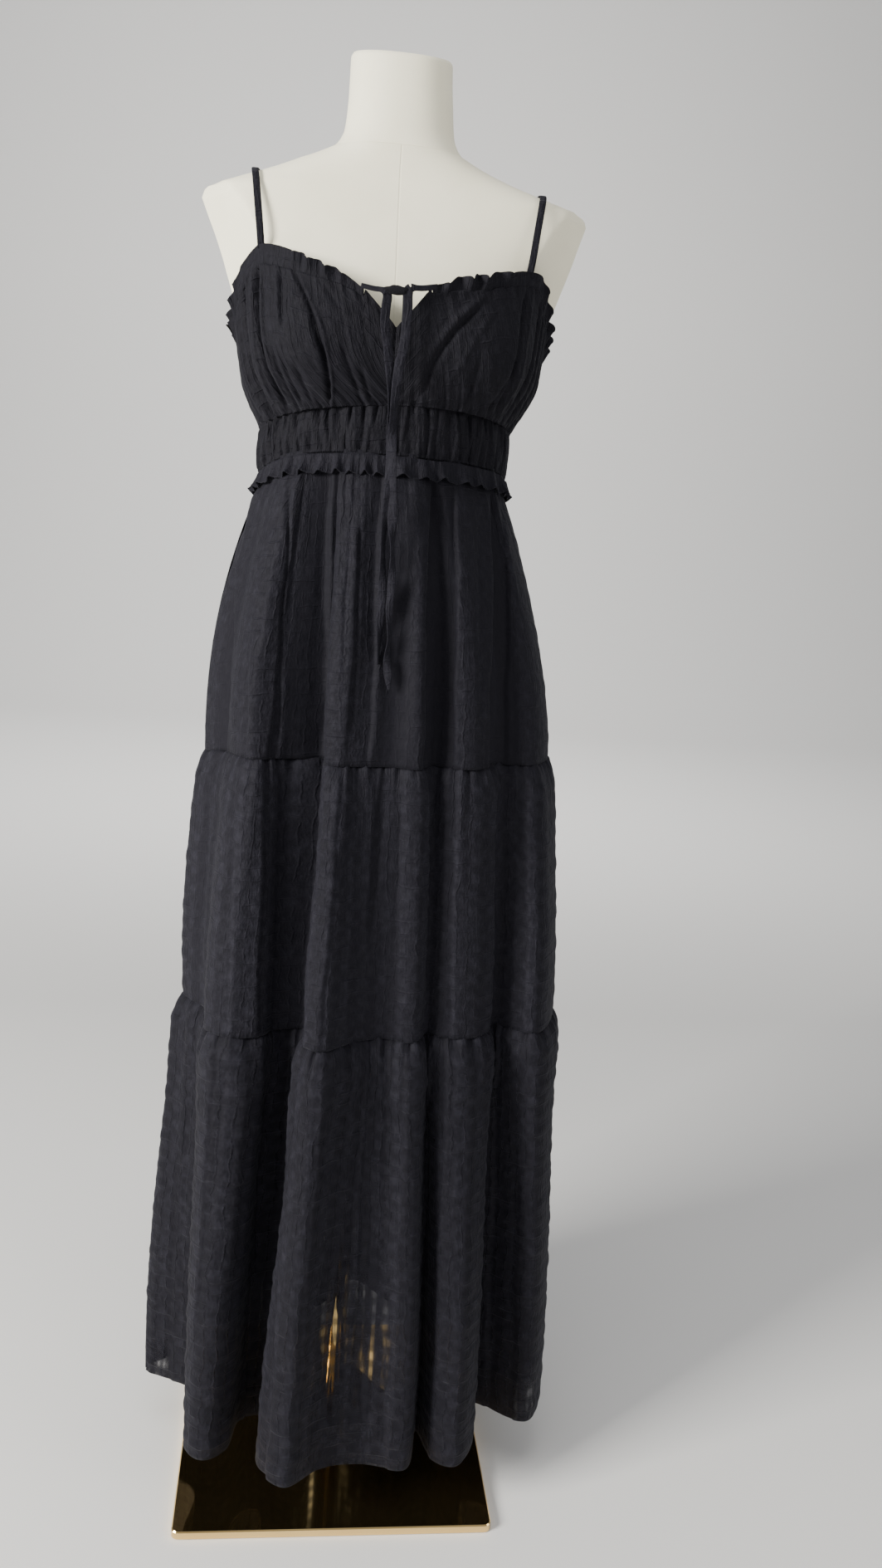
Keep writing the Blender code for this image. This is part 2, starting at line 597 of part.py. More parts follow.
def tier_surface(levels, tier, at, share):
    """Points and outward directions of a tier, at counted in turns and share down from its top."""
    upper, lower = levels[tier - 1], levels[tier]
    power = np.full(len(upper), TIER_EASE[tier])
    if tier == 1:
        power = power - RIGHT_LAG * lower[:, 0]
    moved = max(0.0, share - TIER_LAG[tier]) / (1 - TIER_LAG[tier])
    eased = 1 - (1 - moved) ** power[:, None]
    turns = upper + (lower - upper) * eased
    point = through(turns, at, True)
    along = through(turns, at + 0.02, True) - through(turns, at - 0.02, True)
    out = np.stack([along[:, 1], -along[:, 0]], axis=1)
    out /= np.linalg.norm(out, axis=1, keepdims=True)
    waist = through(levels[0], at, True)
    depth = np.where(waist[:, 1] < 0, WAIST_FRONT, WAIST_BACK)
    bearing = np.arctan2((waist[:, 0] - WAIST_CENTRE) / WAIST_HALF, -waist[:, 1] / depth)
    waist_line = seam_height(BAND_BOTTOM, bearing)
    height = tier_heights(tier, waist_line, share)
    down = tier_heights(tier, waist_line, 0.0) - height
    swell = PUFF[tier] * (down / PUFF_DEPTH) * np.exp(1 - down / PUFF_DEPTH)
    point = point + out * swell[:, None]
    flat = np.zeros((len(at), 1))
    return np.column_stack([point, height]), np.hstack([out, flat]), down


def tier_panel(name, levels, tier, at, cloth):
    rows = []
    for share in TIER_ROWS[tier]:
        points, out, down = tier_surface(levels, tier, at, share)
        wave = zigzag(len(at) - 1, (len(at) - 1) / GATHER_COLUMNS)
        fine = TIER_GATHER[tier] * wave * np.exp(-down / TIER_GATHER_FADE)
        rows.append((points + out * fine[:, None], out))
    middle = np.array([row[0] for row in rows])
    outward = np.array([row[1] for row in rows])
    wall(name, middle, outward, CLOTH, cloth)


def skirt(cloth):
    levels, plain = skirt_turns()
    front_end = len(FRONT_TURNS) - 1
    turns = front_end + len(BACK_TURNS) + 1
    front = np.linspace(0, front_end, front_end * FRONT_STEPS + 1)
    front[0], front[-1] = SEAM_STEP, front_end - SEAM_STEP
    back = np.linspace(front_end, turns, (turns - front_end) * BACK_STEPS + 1)
    back[0], back[-1] = front_end + SEAM_STEP, turns - SEAM_STEP
    for tier in (1, 2, 3):
        tier_panel(f"tier_{tier}_front", levels, tier, front, cloth)
        tier_panel(f"tier_{tier}_back", levels, tier, back, cloth)
    waist_ruffle("waist_ruffle_front", plain, 0, front_end, WAIST_RUFFLE_WAVES["front"], cloth)
    waist_ruffle("waist_ruffle_back", plain, front_end, turns, WAIST_RUFFLE_WAVES["back"], cloth)


def waist_ruffle(name, levels, start, end, waves, cloth):
    """Ruffle over the top of tier 1, its waves of even width round the waist."""
    columns = 3 * waves
    fine = np.linspace(start, end, 400)
    waist = through(levels[0], fine, True)
    length = np.concatenate([[0], np.cumsum(np.linalg.norm(np.diff(waist, axis=0), axis=1))])
    at = np.interp(np.linspace(SEAM_GAP, length[-1] - SEAM_GAP, columns + 1), length, fine)
    rows = []
    for drop in (0.0, 0.5, 1.0):
        share = drop * WAIST_RUFFLE_DROP / (BAND_BOTTOM[0] - SEAM_1)
        points, out, _ = tier_surface(levels, 1, at, share)
        wave = WAIST_RUFFLE_WAVE * zigzag(columns, waves) * (0.2 + 0.8 * drop)
        move = WAIST_RUFFLE_OFF + WAIST_RUFFLE_LEAN * drop + wave
        points = points + out * move[:, None]
        points[:, 2] -= SEAM_GAP
        rows.append((points, out))
    middle = np.array([row[0] for row in rows])
    outward = np.array([row[1] for row in rows])
    wall(name, middle, outward, FRILL, cloth)


# Straps and ties

def strap(name, route, cloth):
    """Flat strap along a route over the shoulder, its broad side toward the form."""
    path = through(route, np.linspace(0, len(route) - 1, STRAP_STEPS), False)
    along = np.gradient(path, axis=0)
    along /= np.linalg.norm(along, axis=1, keepdims=True)
    across = np.cross(along, np.cross((1.0, 0.0, 0.0), along))
    across /= np.linalg.norm(across, axis=1, keepdims=True)
    out = np.cross(across, along)
    out /= np.linalg.norm(out, axis=1, keepdims=True)
    middle = np.array([path - across * STRAP_WIDTH / 2, path + across * STRAP_WIDTH / 2])
    wall(name, middle, np.array([out, out]), STRAP_THICKNESS, cloth)


def knot(cloth):
    bpy.ops.mesh.primitive_uv_sphere_add(segments=12, ring_count=8, radius=1.0)
    lump = bpy.context.object
    lump.name = "tie_knot"
    lump.scale = KNOT_SIZE
    lump.location = KNOT_CENTRE
    bpy.ops.object.transform_apply(location=True, rotation=False, scale=True)
    lump.data.materials.append(cloth)
    lump.data.shade_smooth()


def main():
    for thing in list(bpy.data.objects):
        bpy.data.objects.remove(thing, do_unlink=True)
    cloth = material("black_crinkle_cloth", (0.020, 0.021, 0.030), 0.75, 0.0)
    cover = material("form_cover", (0.82, 0.80, 0.74), 0.85, 0.0)
    brass = material("polished_brass", (0.83, 0.62, 0.30), 0.15, 1.0)

    stand(brass)
    dress_form(cover)

    side = np.degrees(SEAM_GAP / WAIST_HALF)
    left = np.linspace(-90 + side, V_BEARING - V_HALF, CUP_COLUMNS + 1)
    right = np.linspace(V_BEARING + V_HALF, 90 - side, CUP_COLUMNS + 1)
    left_notch = np.linspace(left[-1], V_BEARING - side, NOTCH_COLUMNS + 1)[1:]
    right_notch = np.linspace(V_BEARING + side, right[0], NOTCH_COLUMNS + 1)[:-1]
    back = np.linspace(90 + side, 270 - side, BODICE_BACK_COLUMNS + 1)
    bodice_panel("bodice_front_left", np.concatenate([left, left_notch]), CUP_ROWS, cloth)
    bodice_panel("bodice_front_right", np.concatenate([right_notch, right]), CUP_ROWS, cloth)
    bodice_panel("bodice_back", back, BODICE_BACK_ROWS, cloth)
    neck_ruffle("neck_ruffle_left", left, NECK_RUFFLE_WAVES["left"], cloth)
    neck_ruffle("neck_ruffle_right", right, NECK_RUFFLE_WAVES["right"], cloth)
    neck_ruffle("neck_ruffle_back", back, NECK_RUFFLE_WAVES["back"], cloth)
    waistband("waistband_front", -90 + side, 90 - side, BAND_PUCKERS["front"], cloth)
    waistband("waistband_back", 90 + side, 270 - side, BAND_PUCKERS["back"], cloth)

    skirt(cloth)

    strap("strap_left", STRAP_ROUTE["left"], cloth)
    strap("strap_right", STRAP_ROUTE["right"], cloth)
    cord("neck_tie_left", NECK_TIE_LEFT, TIE_RADIUS, TIE_SPACING, cloth)
    cord("neck_tie_right", NECK_TIE_RIGHT, TIE_RADIUS, TIE_SPACING, cloth)
    cord("tie_end_left", TIE_END_LEFT, TIE_RADIUS, TIE_SPACING, cloth)
    cord("tie_end_right", TIE_END_RIGHT, TIE_RADIUS, TIE_SPACING, cloth)
    knot(cloth)


main()
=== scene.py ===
"""A tiered maxi dress on a limbless dress form: looks, light and camera.

Metres, +Z up, the front faces -Y. Left and right are the viewer's, from the front.
"""
import math

import bpy
import numpy as np
from mathutils import Matrix, Vector


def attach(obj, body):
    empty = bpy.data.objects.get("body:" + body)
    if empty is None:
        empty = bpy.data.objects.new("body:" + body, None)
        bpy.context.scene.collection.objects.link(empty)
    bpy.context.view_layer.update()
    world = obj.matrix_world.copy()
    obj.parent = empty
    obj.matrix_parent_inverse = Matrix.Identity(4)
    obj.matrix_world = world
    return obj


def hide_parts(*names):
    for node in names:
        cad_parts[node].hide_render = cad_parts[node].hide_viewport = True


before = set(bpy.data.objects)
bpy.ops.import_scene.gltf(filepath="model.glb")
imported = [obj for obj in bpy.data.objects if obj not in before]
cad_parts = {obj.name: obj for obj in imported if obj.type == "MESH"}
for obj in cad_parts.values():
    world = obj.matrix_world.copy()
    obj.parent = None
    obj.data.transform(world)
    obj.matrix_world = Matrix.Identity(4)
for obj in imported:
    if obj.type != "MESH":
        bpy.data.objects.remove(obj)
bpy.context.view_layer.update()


# Camera
# It stands 1.1 m above the floor and 1.3 m in front of the form, a little to the left, and looks
# down at the waist, turned slightly clockwise.

CAMERA_PLACE = (-0.0867, -1.3334, 1.1019)
CAMERA_YAW, CAMERA_PITCH, CAMERA_ROLL = -0.1231, 0.2146, 0.0749
CAMERA_LENS = 28.735

ahead = Vector((-math.sin(CAMERA_YAW) * math.cos(CAMERA_PITCH),
                math.cos(CAMERA_YAW) * math.cos(CAMERA_PITCH), -math.sin(CAMERA_PITCH)))
level = Vector((math.cos(CAMERA_YAW), math.sin(CAMERA_YAW), 0.0))
under = ahead.cross(level)
right = level * math.cos(CAMERA_ROLL) - under * math.sin(CAMERA_ROLL)
down = level * math.sin(CAMERA_ROLL) + under * math.cos(CAMERA_ROLL)
camera = bpy.data.objects.new("camera", bpy.data.cameras.new("camera"))
camera.data.lens = CAMERA_LENS
camera.data.sensor_width = 36.0
camera.data.clip_start, camera.data.clip_end = 0.05, 40.0
camera.matrix_world = Matrix((
    (right.x, -down.x, -ahead.x, CAMERA_PLACE[0]),
    (right.y, -down.y, -ahead.y, CAMERA_PLACE[1]),
    (right.z, -down.z, -ahead.z, CAMERA_PLACE[2]),
    (0.0, 0.0, 0.0, 1.0)))
bpy.context.scene.collection.objects.link(camera)
bpy.context.scene.camera = camera


# Floor and light
# A pale floor rises into a wall well behind the form. A large soft lamp stands high on the left,
# with a weak one on the right and one overhead.

class Wire:
    """A socket of a node tree: + - * / on it add Math nodes, node() adds any other node."""

    def __init__(self, tree, socket=None):
        self.tree = tree
        self.socket = socket

    def node(self, kind, settings=None, inputs=None, output=0):
        made = self.tree.nodes.new(kind)
        for key, value in (settings or {}).items():
            setattr(made, key, value)
        for key, value in (inputs or {}).items():
            if isinstance(value, Wire):
                self.tree.links.new(value.socket, made.inputs[key])
            else:
                made.inputs[key].default_value = value
        return Wire(self.tree, made.outputs[output])

    def sum(self, operation, first, second=0.0, third=0.0):
        return self.node("ShaderNodeMath", {"operation": operation},
                         {0: first, 1: second, 2: third})

    def __add__(self, other):
        return self.sum("ADD", self, other)

    def __sub__(self, other):
        return self.sum("SUBTRACT", self, other)

    def __mul__(self, other):
        return self.sum("MULTIPLY", self, other)

    def __truediv__(self, other):
        return self.sum("DIVIDE", self, other)

    def __radd__(self, other):
        return self.sum("ADD", other, self)

    def __rsub__(self, other):
        return self.sum("SUBTRACT", other, self)

    def __rmul__(self, other):
        return self.sum("MULTIPLY", other, self)

    def step(self, low, high):
        """0 below low, 1 above high and a smooth rise between; low may be the larger."""
        return self.node("ShaderNodeMapRange", {"interpolation_type": "SMOOTHSTEP"},
                         {0: self, 1: low, 2: high, 3: 0.0, 4: 1.0})

    def blend(self, low, high):
        """A colour between low and high, this wire saying how far."""
        return self.node("ShaderNodeMix", {"data_type": "RGBA"},
                         {0: self, 6: (*low, 1.0), 7: (*high, 1.0)}, 2)


def finish(name, roughness, metallic=0.0, **steady):
    """A material, its first wire and its main shader, with sockets that stay the same all over."""
    made = bpy.data.materials.new(name)
    made.use_nodes = True
    shader = made.node_tree.nodes["Principled BSDF"]
    shader.inputs["Roughness"].default_value = roughness
    shader.inputs["Metallic"].default_value = metallic
    for key, value in steady.items():
        shader.inputs[key.replace("_", " ")].default_value = value
    return made, Wire(made.node_tree), shader


def join(wire, shader, socket):
    """Feed a shader's socket."""
    wire.tree.links.new(wire.socket, shader.inputs[socket])


def noise(vector, scale, detail):
    """Soft noise over a vector."""
    return vector.node("ShaderNodeTexNoise", {},
                       {"Vector": vector, "Scale": scale, "Detail": detail})


def axis(vector, k):
    """One of a vector's three numbers."""
    return vector.node("ShaderNodeSeparateXYZ", {}, {0: vector}, k)


def place_mesh(name, points, faces, look):
    """A smooth mesh object from points of any grid shape and a list of faces."""
    mesh = bpy.data.meshes.new(name)
    mesh.from_pydata(points.reshape(-1, 3).tolist(), [], faces)
    mesh.materials.append(look)
    mesh.shade_smooth()
    thing = bpy.data.objects.new(name, mesh)
    bpy.context.scene.collection.objects.link(thing)
    return thing


def grid_faces(rows, columns, closed):
    """Quads between neighbouring points of a grid, closed round its columns or open."""
    r, c = np.meshgrid(np.arange(rows - 1), np.arange(columns if closed else columns - 1),
                       indexing="ij")
    d = (c + 1) % columns
    return np.stack([r * columns + c, r * columns + d, (r + 1) * columns + d,
                     (r + 1) * columns + c], axis=-1).reshape(-1, 4)


FLOOR_HALF = 8.0
WALL_START, WALL_ROUND, WALL_TOP = 5.0, 2.5, 6.0

floor_look, wire, shader = finish("pale_floor", 0.9)
shader.inputs["Base Color"].default_value = (0.80, 0.79, 0.77, 1.0)
bend = np.radians(np.linspace(0.0, 90.0, 25))
profile = np.concatenate([
    [(-FLOOR_HALF, 0.0)],
    np.stack([WALL_START + WALL_ROUND * np.sin(bend), WALL_ROUND * (1 - np.cos(bend))], axis=1),
    [(WALL_START + WALL_ROUND, WALL_TOP)]])
edges = np.array([-FLOOR_HALF, FLOOR_HALF])
floor_points = np.stack([np.broadcast_to(edges, (len(profile), 2)),
                         np.broadcast_to(profile[:, :1], (len(profile), 2)),
                         np.broadcast_to(profile[:, 1:], (len(profile), 2))], axis=-1)
floor = place_mesh("floor", floor_points, grid_faces(len(profile), 2, False).tolist(),
                   floor_look)

world = bpy.data.worlds.new("studio")
world.use_nodes = True
world.node_tree.nodes["Background"].inputs[0].default_value = (0.93, 0.95, 1.0, 1.0)
world.node_tree.nodes["Background"].inputs[1].default_value = 0.39
bpy.context.scene.world = world


def lamp(name, place, aim, size, watts, colour):
    """A square soft lamp turned toward a point."""
    light = bpy.data.lights.new(name, "AREA")
    light.size = size
    light.energy = watts
    light.color = colour
    thing = bpy.data.objects.new(name, light)
    thing.location = place
    thing.rotation_euler = (Vector(aim) - Vector(place)).to_track_quat("-Z", "Y").to_euler()
    thing.visible_camera = False
    bpy.context.scene.collection.objects.link(thing)


lamp("lamp_left", (-2.6, -1.5, 1.7), (0.0, 0.0, 0.9), 1.0, 215.0, (1.0, 0.98, 0.93))
lamp("lamp_right", (2.6, -1.6, 1.7), (0.0, 0.0, 0.9), 1.6, 24.0, (1.0, 0.98, 0.95))
lamp("lamp_above", (-0.3, -0.9, 3.4), (0.0, 0.0, 1.0), 1.4, 22.0, (1.0, 0.99, 0.97))
lamp("lamp_wall", (0.0, 2.6, 3.2), (0.0, 7.5, 1.2), 3.0, 190.0, (1.0, 0.99, 0.97))


# Stand
# A square steel plate and a straight tube, both plated in mirror-bright brass. The tube is welded
# to the plate's middle and runs up into the form.

POLE_RADIUS, POLE_TOP = 0.0125, 0.7894
PLATE_TOP = 0.010
WELD = 0.0012                           # how far the weld stands out at the tube's foot

brass_look, wire, shader = finish("polished_brass", 0.07, 0.992)
place = wire.node("ShaderNodeTexCoord", output=3)
smear = noise(place, 9.0, 3.0)
dust = noise(place, 420.0, 2.0)
join(smear.step(0.35, 0.75).blend((0.86, 0.62, 0.27), (0.80, 0.55, 0.22)), shader, "Base Color")
join(0.05 + 0.05 * smear.step(0.4, 0.8) + 0.10 * dust.step(0.62, 0.80), shader, "Roughness")

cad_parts["stand_plate"].material_slots[0].material = brass_look


def ring_solid(name, rings, look, sharp=None):
    """Closed solid from rings of points, one above the other, with flat ends.

    Edges that turn by more than sharp degrees stay sharp.
    """
    rows, columns = rings.shape[:2]
    faces = grid_faces(rows, columns, True).tolist()
    faces += [list(range(columns - 1, -1, -1)), list(range((rows - 1) * columns, rows * columns))]
    thing = place_mesh(name, rings, faces, look)
    if sharp:
        thing.data.set_sharp_from_angle(angle=math.radians(sharp))
    return thing


turn = np.linspace(0.0, 2 * np.pi, 96, endpoint=False)
tube_heights = np.array([PLATE_TOP + 0.0006, PLATE_TOP + 0.0016, POLE_TOP - 0.0014, POLE_TOP])
tube_radii = np.array([POLE_RADIUS + WELD, POLE_RADIUS, POLE_RADIUS, POLE_RADIUS - 0.0006])
tube = np.stack([tube_radii[:, None] * np.cos(turn), tube_radii[:, None] * np.sin(turn),
                 np.broadcast_to(tube_heights[:, None], (4, 96))], axis=-1)
pole_tube = ring_solid("pole_tube", tube, brass_look, 40)
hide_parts("stand_pole")
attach(pole_tube, "root")


# Dress form
# A padded torso with no arms and a short neck, covered in off-white stretch cloth. The cover has
# a seam down the front and one round the foot of the neck; flat plates close the shoulders.

FORM_ROUND = 2.3
ARM_PLATE_TOP, ARM_PLATE_FOOT, ARM_PLATE_HALF = 1.390, 1.240, 0.1945
ARM_PLATE_LEAN, ARM_PLATE_TOE, ARM_PLATE_HEEL = 0.33, 0.78, 0.30
BUST_BEARING, BUST_SPREAD, BUST_HEIGHT, BUST_RISE = 38.0, 24.0, 1.245, 0.060
FORM_BUST = 0.011
NECK_SLOPE = 0.18
FRONT_SEAM_X = -0.0105
OFF_WHITE, SHADED_WHITE = (0.965, 0.915, 0.715), (0.87, 0.82, 0.62)
FORM_COLUMNS, FORM_SHARP = 160, 38
LEFT_SHOULDER, LEFT_PLATE = 0.0080, 0.0070    # how much lower and nearer the left arm plate ends

# height, centre x, half width, depth in front of the pole, depth behind it
FORM_SECTIONS = np.array([
    (0.790, 0.000, 0.144, 0.070, 0.086),
    (0.815, 0.000, 0.154, 0.076, 0.094),
    (0.870, 0.000, 0.159, 0.079, 0.099),
    (0.950, -0.001, 0.156, 0.080, 0.097),
    (1.040, -0.004, 0.138, 0.077, 0.086),
    (1.120, -0.006, 0.118, 0.073, 0.076),
    (1.165, -0.006, 0.115, 0.073, 0.073),
    (1.200, -0.007, 0.118, 0.077, 0.076),
    (1.240, -0.008, 0.130, 0.087, 0.083),
    (1.280, -0.009, 0.146, 0.089, 0.088),
    (1.310, -0.010, 0.168, 0.082, 0.091),
    (1.345, -0.010, 0.192, 0.071, 0.091),
    (1.375, -0.011, 0.205, 0.061, 0.083),
    (1.395, -0.0115, 0.195, 0.055, 0.069),
    (1.406, -0.0110, 0.160, 0.051, 0.060),
    (1.416, -0.0105, 0.122, 0.050, 0.056),
    (1.427, -0.0105, 0.089, 0.050, 0.054),
    (1.436, -0.0105, 0.068, 0.051, 0.053),
])
NECK_SECTIONS = np.array([
    (1.4364, -0.0105, 0.0660, 0.0500, 0.0520),
    (1.4440, -0.0105, 0.0590, 0.0485, 0.0500),
    (1.4560, -0.0105, 0.0538, 0.0468, 0.0480),
    (1.4800, -0.0108, 0.0512, 0.0458, 0.0468),
    (1.5050, -0.0118, 0.0498, 0.0452, 0.0462),
    (1.5215, -0.0122, 0.0492, 0.0448, 0.0458),
    (1.5250, -0.0122, 0.0474, 0.0430, 0.0440),
])


def rows_at(table, at):
    """Smooth values of a table's other columns where its first column is at, without overshoot.

    Between two rows each value is a cubic whose slopes are harmonic means of the table's own.
    """
    key, values = table[:, 0], table[:, 1:]
    at = np.clip(np.asarray(at, float), key[0], key[-1])
    steps = np.diff(key)[:, None]
    slopes = np.diff(values, axis=0) / steps
    tangents = np.zeros_like(values)
    rising = slopes[:-1] * slopes[1:] > 0
    safe = np.where(rising, slopes[:-1] + slopes[1:], 1.0)
    tangents[1:-1] = np.where(rising, 2.0 * slopes[:-1] * slopes[1:] / safe, 0.0)
    tangents[0], tangents[-1] = slopes[0], slopes[-1]
    i = np.clip(np.searchsorted(key, at, side="right") - 1, 0, len(key) - 2)
    u = ((at - key[i]) / np.diff(key)[i])[..., None]
    h = steps[i]
    return (values[i] * (1 + 2 * u) * (1 - u) ** 2 + tangents[i] * h * u * (1 - u) ** 2
            + values[i + 1] * u * u * (3 - 2 * u) + tangents[i + 1] * h * u * u * (u - 1))


def bust(bearing, height, depth):
    """Two soft swellings: depth times a bell in bearing and a bell in height."""
    off = (np.abs(np.degrees(bearing)) - BUST_BEARING) / BUST_SPREAD
    rise = (height - BUST_HEIGHT) / BUST_RISE
    return depth * np.exp(-off ** 2 - rise ** 2)


def form_rings(sections, heights, columns):
    """Level rounded ovals, |x/a|^2.3 + |y/b|^2.3 = 1, cut flat at the arm plates."""
    z = heights[:, None]
    centre, half, front, back = np.moveaxis(rows_at(sections, heights), -1, 0)[..., None]
    bearing = np.linspace(-np.pi, np.pi, columns, endpoint=False)
    s, c = np.sin(bearing), np.cos(bearing)
    power = 2 / FORM_ROUND
    x = half * np.sign(s) * np.abs(s) ** power
    y = -np.where(c >= 0, front, back) * np.sign(c) * np.abs(c) ** power
    y = y - np.where(c > 0, bust(bearing, z, FORM_BUST), 0.0)
    plate = ARM_PLATE_HALF - ARM_PLATE_LEAN * np.abs(ARM_PLATE_TOP - z)
    plate = plate - np.where(y < 0, ARM_PLATE_TOE * -y, ARM_PLATE_HEEL * y)
    reach = np.where(z > ARM_PLATE_FOOT, plate, half)
    near = LEFT_PLATE * np.clip((z - ARM_PLATE_FOOT) / 0.06, 0, 1)
    x = centre + np.clip(x, near - reach, reach)
    slope = np.clip((-x - 0.105) / 0.085, 0, 1) * np.clip((z - 1.33) / 0.06, 0, 1)
    return np.stack([x, y, z - LEFT_SHOULDER * slope], axis=-1)


cover_look, wire, shader = finish("form_cover", 0.82, Sheen_Weight=0.15)
place = wire.node("ShaderNodeTexCoord", output=3)
mottle = noise(place, 14.0, 4.0)
knit = noise(place, 900.0, 2.0)
off_seam = wire.sum("ABSOLUTE", axis(place, 0) - FRONT_SEAM_X)
front_side = axis(place, 1).step(0.0, -0.02)
below_neck = axis(place, 2).step(1.437, 1.434)
seam = off_seam.step(0.0011, 0.0003) * front_side * below_neck
join((0.5 * mottle.step(0.35, 0.70) + 0.5 * seam).blend(OFF_WHITE, SHADED_WHITE), shader,
     "Base Color")
bump = wire.node("ShaderNodeBump", {}, {"Strength": 0.35, "Distance": 0.0008,
                                        "Height": knit * 0.35 - 0.9 * seam})
join(bump, shader, "Normal")

torso_heights = np.concatenate([[0.790], np.linspace(0.792, 1.23, 30),
                                np.linspace(1.2335, 1.436, 80)])
torso = ring_solid("torso_cover", form_rings(FORM_SECTIONS, torso_heights, FORM_COLUMNS),
                   cover_look, FORM_SHARP)
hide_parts("form_torso")
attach(torso, "root")

neck_heights = np.concatenate([np.linspace(1.4364, 1.5215, 34), np.linspace(1.5222, 1.525, 6)])
neck_rings = form_rings(NECK_SECTIONS, neck_heights, FORM_COLUMNS)
rise = (neck_heights - neck_heights[0]) / (neck_heights[-1] - neck_heights[0])
neck_rings[:, :, 2] += NECK_SLOPE * neck_rings[:, :, 1] * rise[:, None] ** 2
neck = ring_solid("neck_cover", neck_rings, cover_look, FORM_SHARP)
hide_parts("form_neck")
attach(neck, "root")


# Skirt
# Three tiers of black crinkled semi-sheer cloth with a woven shadow check. Each is a straight
# strip, gathered into the seam above it and sewn up its sides; the last one has a rolled hem.

MM = 0.001
CLOTH = 0.0009
WAIST_CENTRE, WAIST_HALF, WAIST_FRONT, WAIST_BACK = -0.0065, 0.1262, 0.0950, 0.0880
# mean height, rise to the front, rise to the right, a further rise, its bearing and spread
BAND_BOTTOM = (1.129, 0.018, 0.0060, 0.0068, -38.0, 38.0)
SEAM_1, SEAM_2, HEM = 0.8475, 0.5575, 0.0750
TIER_EASE = {1: 2.0, 2: 1.6, 3: 1.5}    # how early a tier reaches its lower width
TIER_LAG = {1: 0.05, 2: 0.0, 3: 0.0}    # share of a tier that hangs straight first
RIGHT_LAG = 2.6
PUFF = {1: 0.0, 2: 0.0045, 3: 0.0065}   # swell of the gathered cloth below a seam
PUFF_DEPTH = 0.030
WAIST_FOLD_SHARE, WAIST_FOLD, WAIST_FAN = 0.22, 0.0018, 4.5
SIDE_GAP, SIDE_LAP = 0.004, 0.050       # of a turn: the back stops short, the front runs under
SEAM_SAG = 0.013                        # how much lower the first seam hangs at the left hip
SAG_BEARING, SAG_SPREAD = -92.0, 24.0
HIP_BEARING, HIP_SPREAD = -85.0, 34.0
LEFT_HIP = {1: 0.0025, 2: 0.0060, 3: 0.0050}    # how much fuller a tier hangs on the left

# name, then millimetres right of the pole and in front of it, at seam 1, at seam 2 and at the hem
FRONT_TURNS = [
    ("left_seam", -178, 0, -193, 0, -224, -4),
    ("valley_1", -150, 52, -163, 50, -160, 40),
    ("fold_a_left", -142, 78, -160, 99, -166, 126),
    ("fold_a", -126, 100, -134, 119, -147, 145),
    ("fold_a_right", -108, 97, -101, 112, -122, 132),
    ("valley_2_left", -98, 91, -91, 98, -109, 86),
    ("valley_2_right", -43, 84, -55, 94, -84, 78),
    ("fold_b_left", -50, 108, -60, 130, -88, 152),
    ("fold_b", -38, 117, -42, 148, -58, 188),
    ("fold_b_right", -14, 112, -8, 124, -20, 162),
    ("hollow_b", 12, 107, 22, 113, 30, 152),
    ("fold_b2", 40, 114, 54, 121, 74, 165),
    ("valley_3", 59, 91, 68, 98, 91, 108),
    ("fold_c_left", 77, 101, 82, 104, 106, 148),
    ("fold_c", 96, 102, 108, 108, 130, 159),
    ("fold_c_right", 114, 88, 134, 94, 153, 128),
    ("valley_4", 130, 68, 147, 70, 161, 64),
    ("fold_d", 166, 62, 190, 88, 222, 92),
    ("right_seam", 192, 8, 223, 8, 250, 14),
]
# back of the skirt: bearing of a turn and its reach past the oval at the hem, in millimetres
BACK_TURNS = [
    (104, -24), (119, 24), (133, -28), (149, 32), (162, -26), (177, 20), (191, -32), (207, 34),
    (222, -24), (238, 26), (253, -22),
]
BACK_SHARE = (0.30, 0.62, 1.0)          # the reach at seam 1, at seam 2 and at the hem
# centre x, half width, depth in front, depth behind at seam 1, at seam 2 and at the hem
SKIRT_OVALS = np.array([
    (0.0085, 0.186, 0.107, 0.128),
    (0.0155, 0.210, 0.112, 0.140),
    (0.0173, 0.2418, 0.135, 0.158),
])


def bell(off, width):
    """1 at no distance, falling away as exp(-(off / width)^2)."""
    return np.exp(-(off / width) ** 2)


def ease(share):
    """A smooth rise from 0 to 1, 3 s^2 - 2 s^3, with the share held between 0 and 1."""
    share = np.clip(share, 0.0, 1.0)
    return share * share * (3 - 2 * share)


def oval(bearing, centre, half, front, back):
    """Point (a sin b, -d cos b) of an oval at bearing b from the front, and the way out there."""
    s, c = np.sin(bearing), np.cos(bearing)
    depth = np.where(c >= 0, front, back)
    point = np.stack([centre + half * s, -depth * c], axis=-1)
    out = np.stack([s / half, -c / depth], axis=-1)
    return point, out / np.linalg.norm(out, axis=-1, keepdims=True)


def seam_height(seam, bearing):
    """Mean height, plus a rise toward the front, one toward the right and a local one."""
    mean, front, right_rise, local, place, spread = seam
    turned = (np.degrees(bearing) + 180.0) % 360.0 - 180.0
    return (mean + front * np.cos(bearing) + right_rise * np.sin(bearing)
            + local * bell(turned - place, spread))


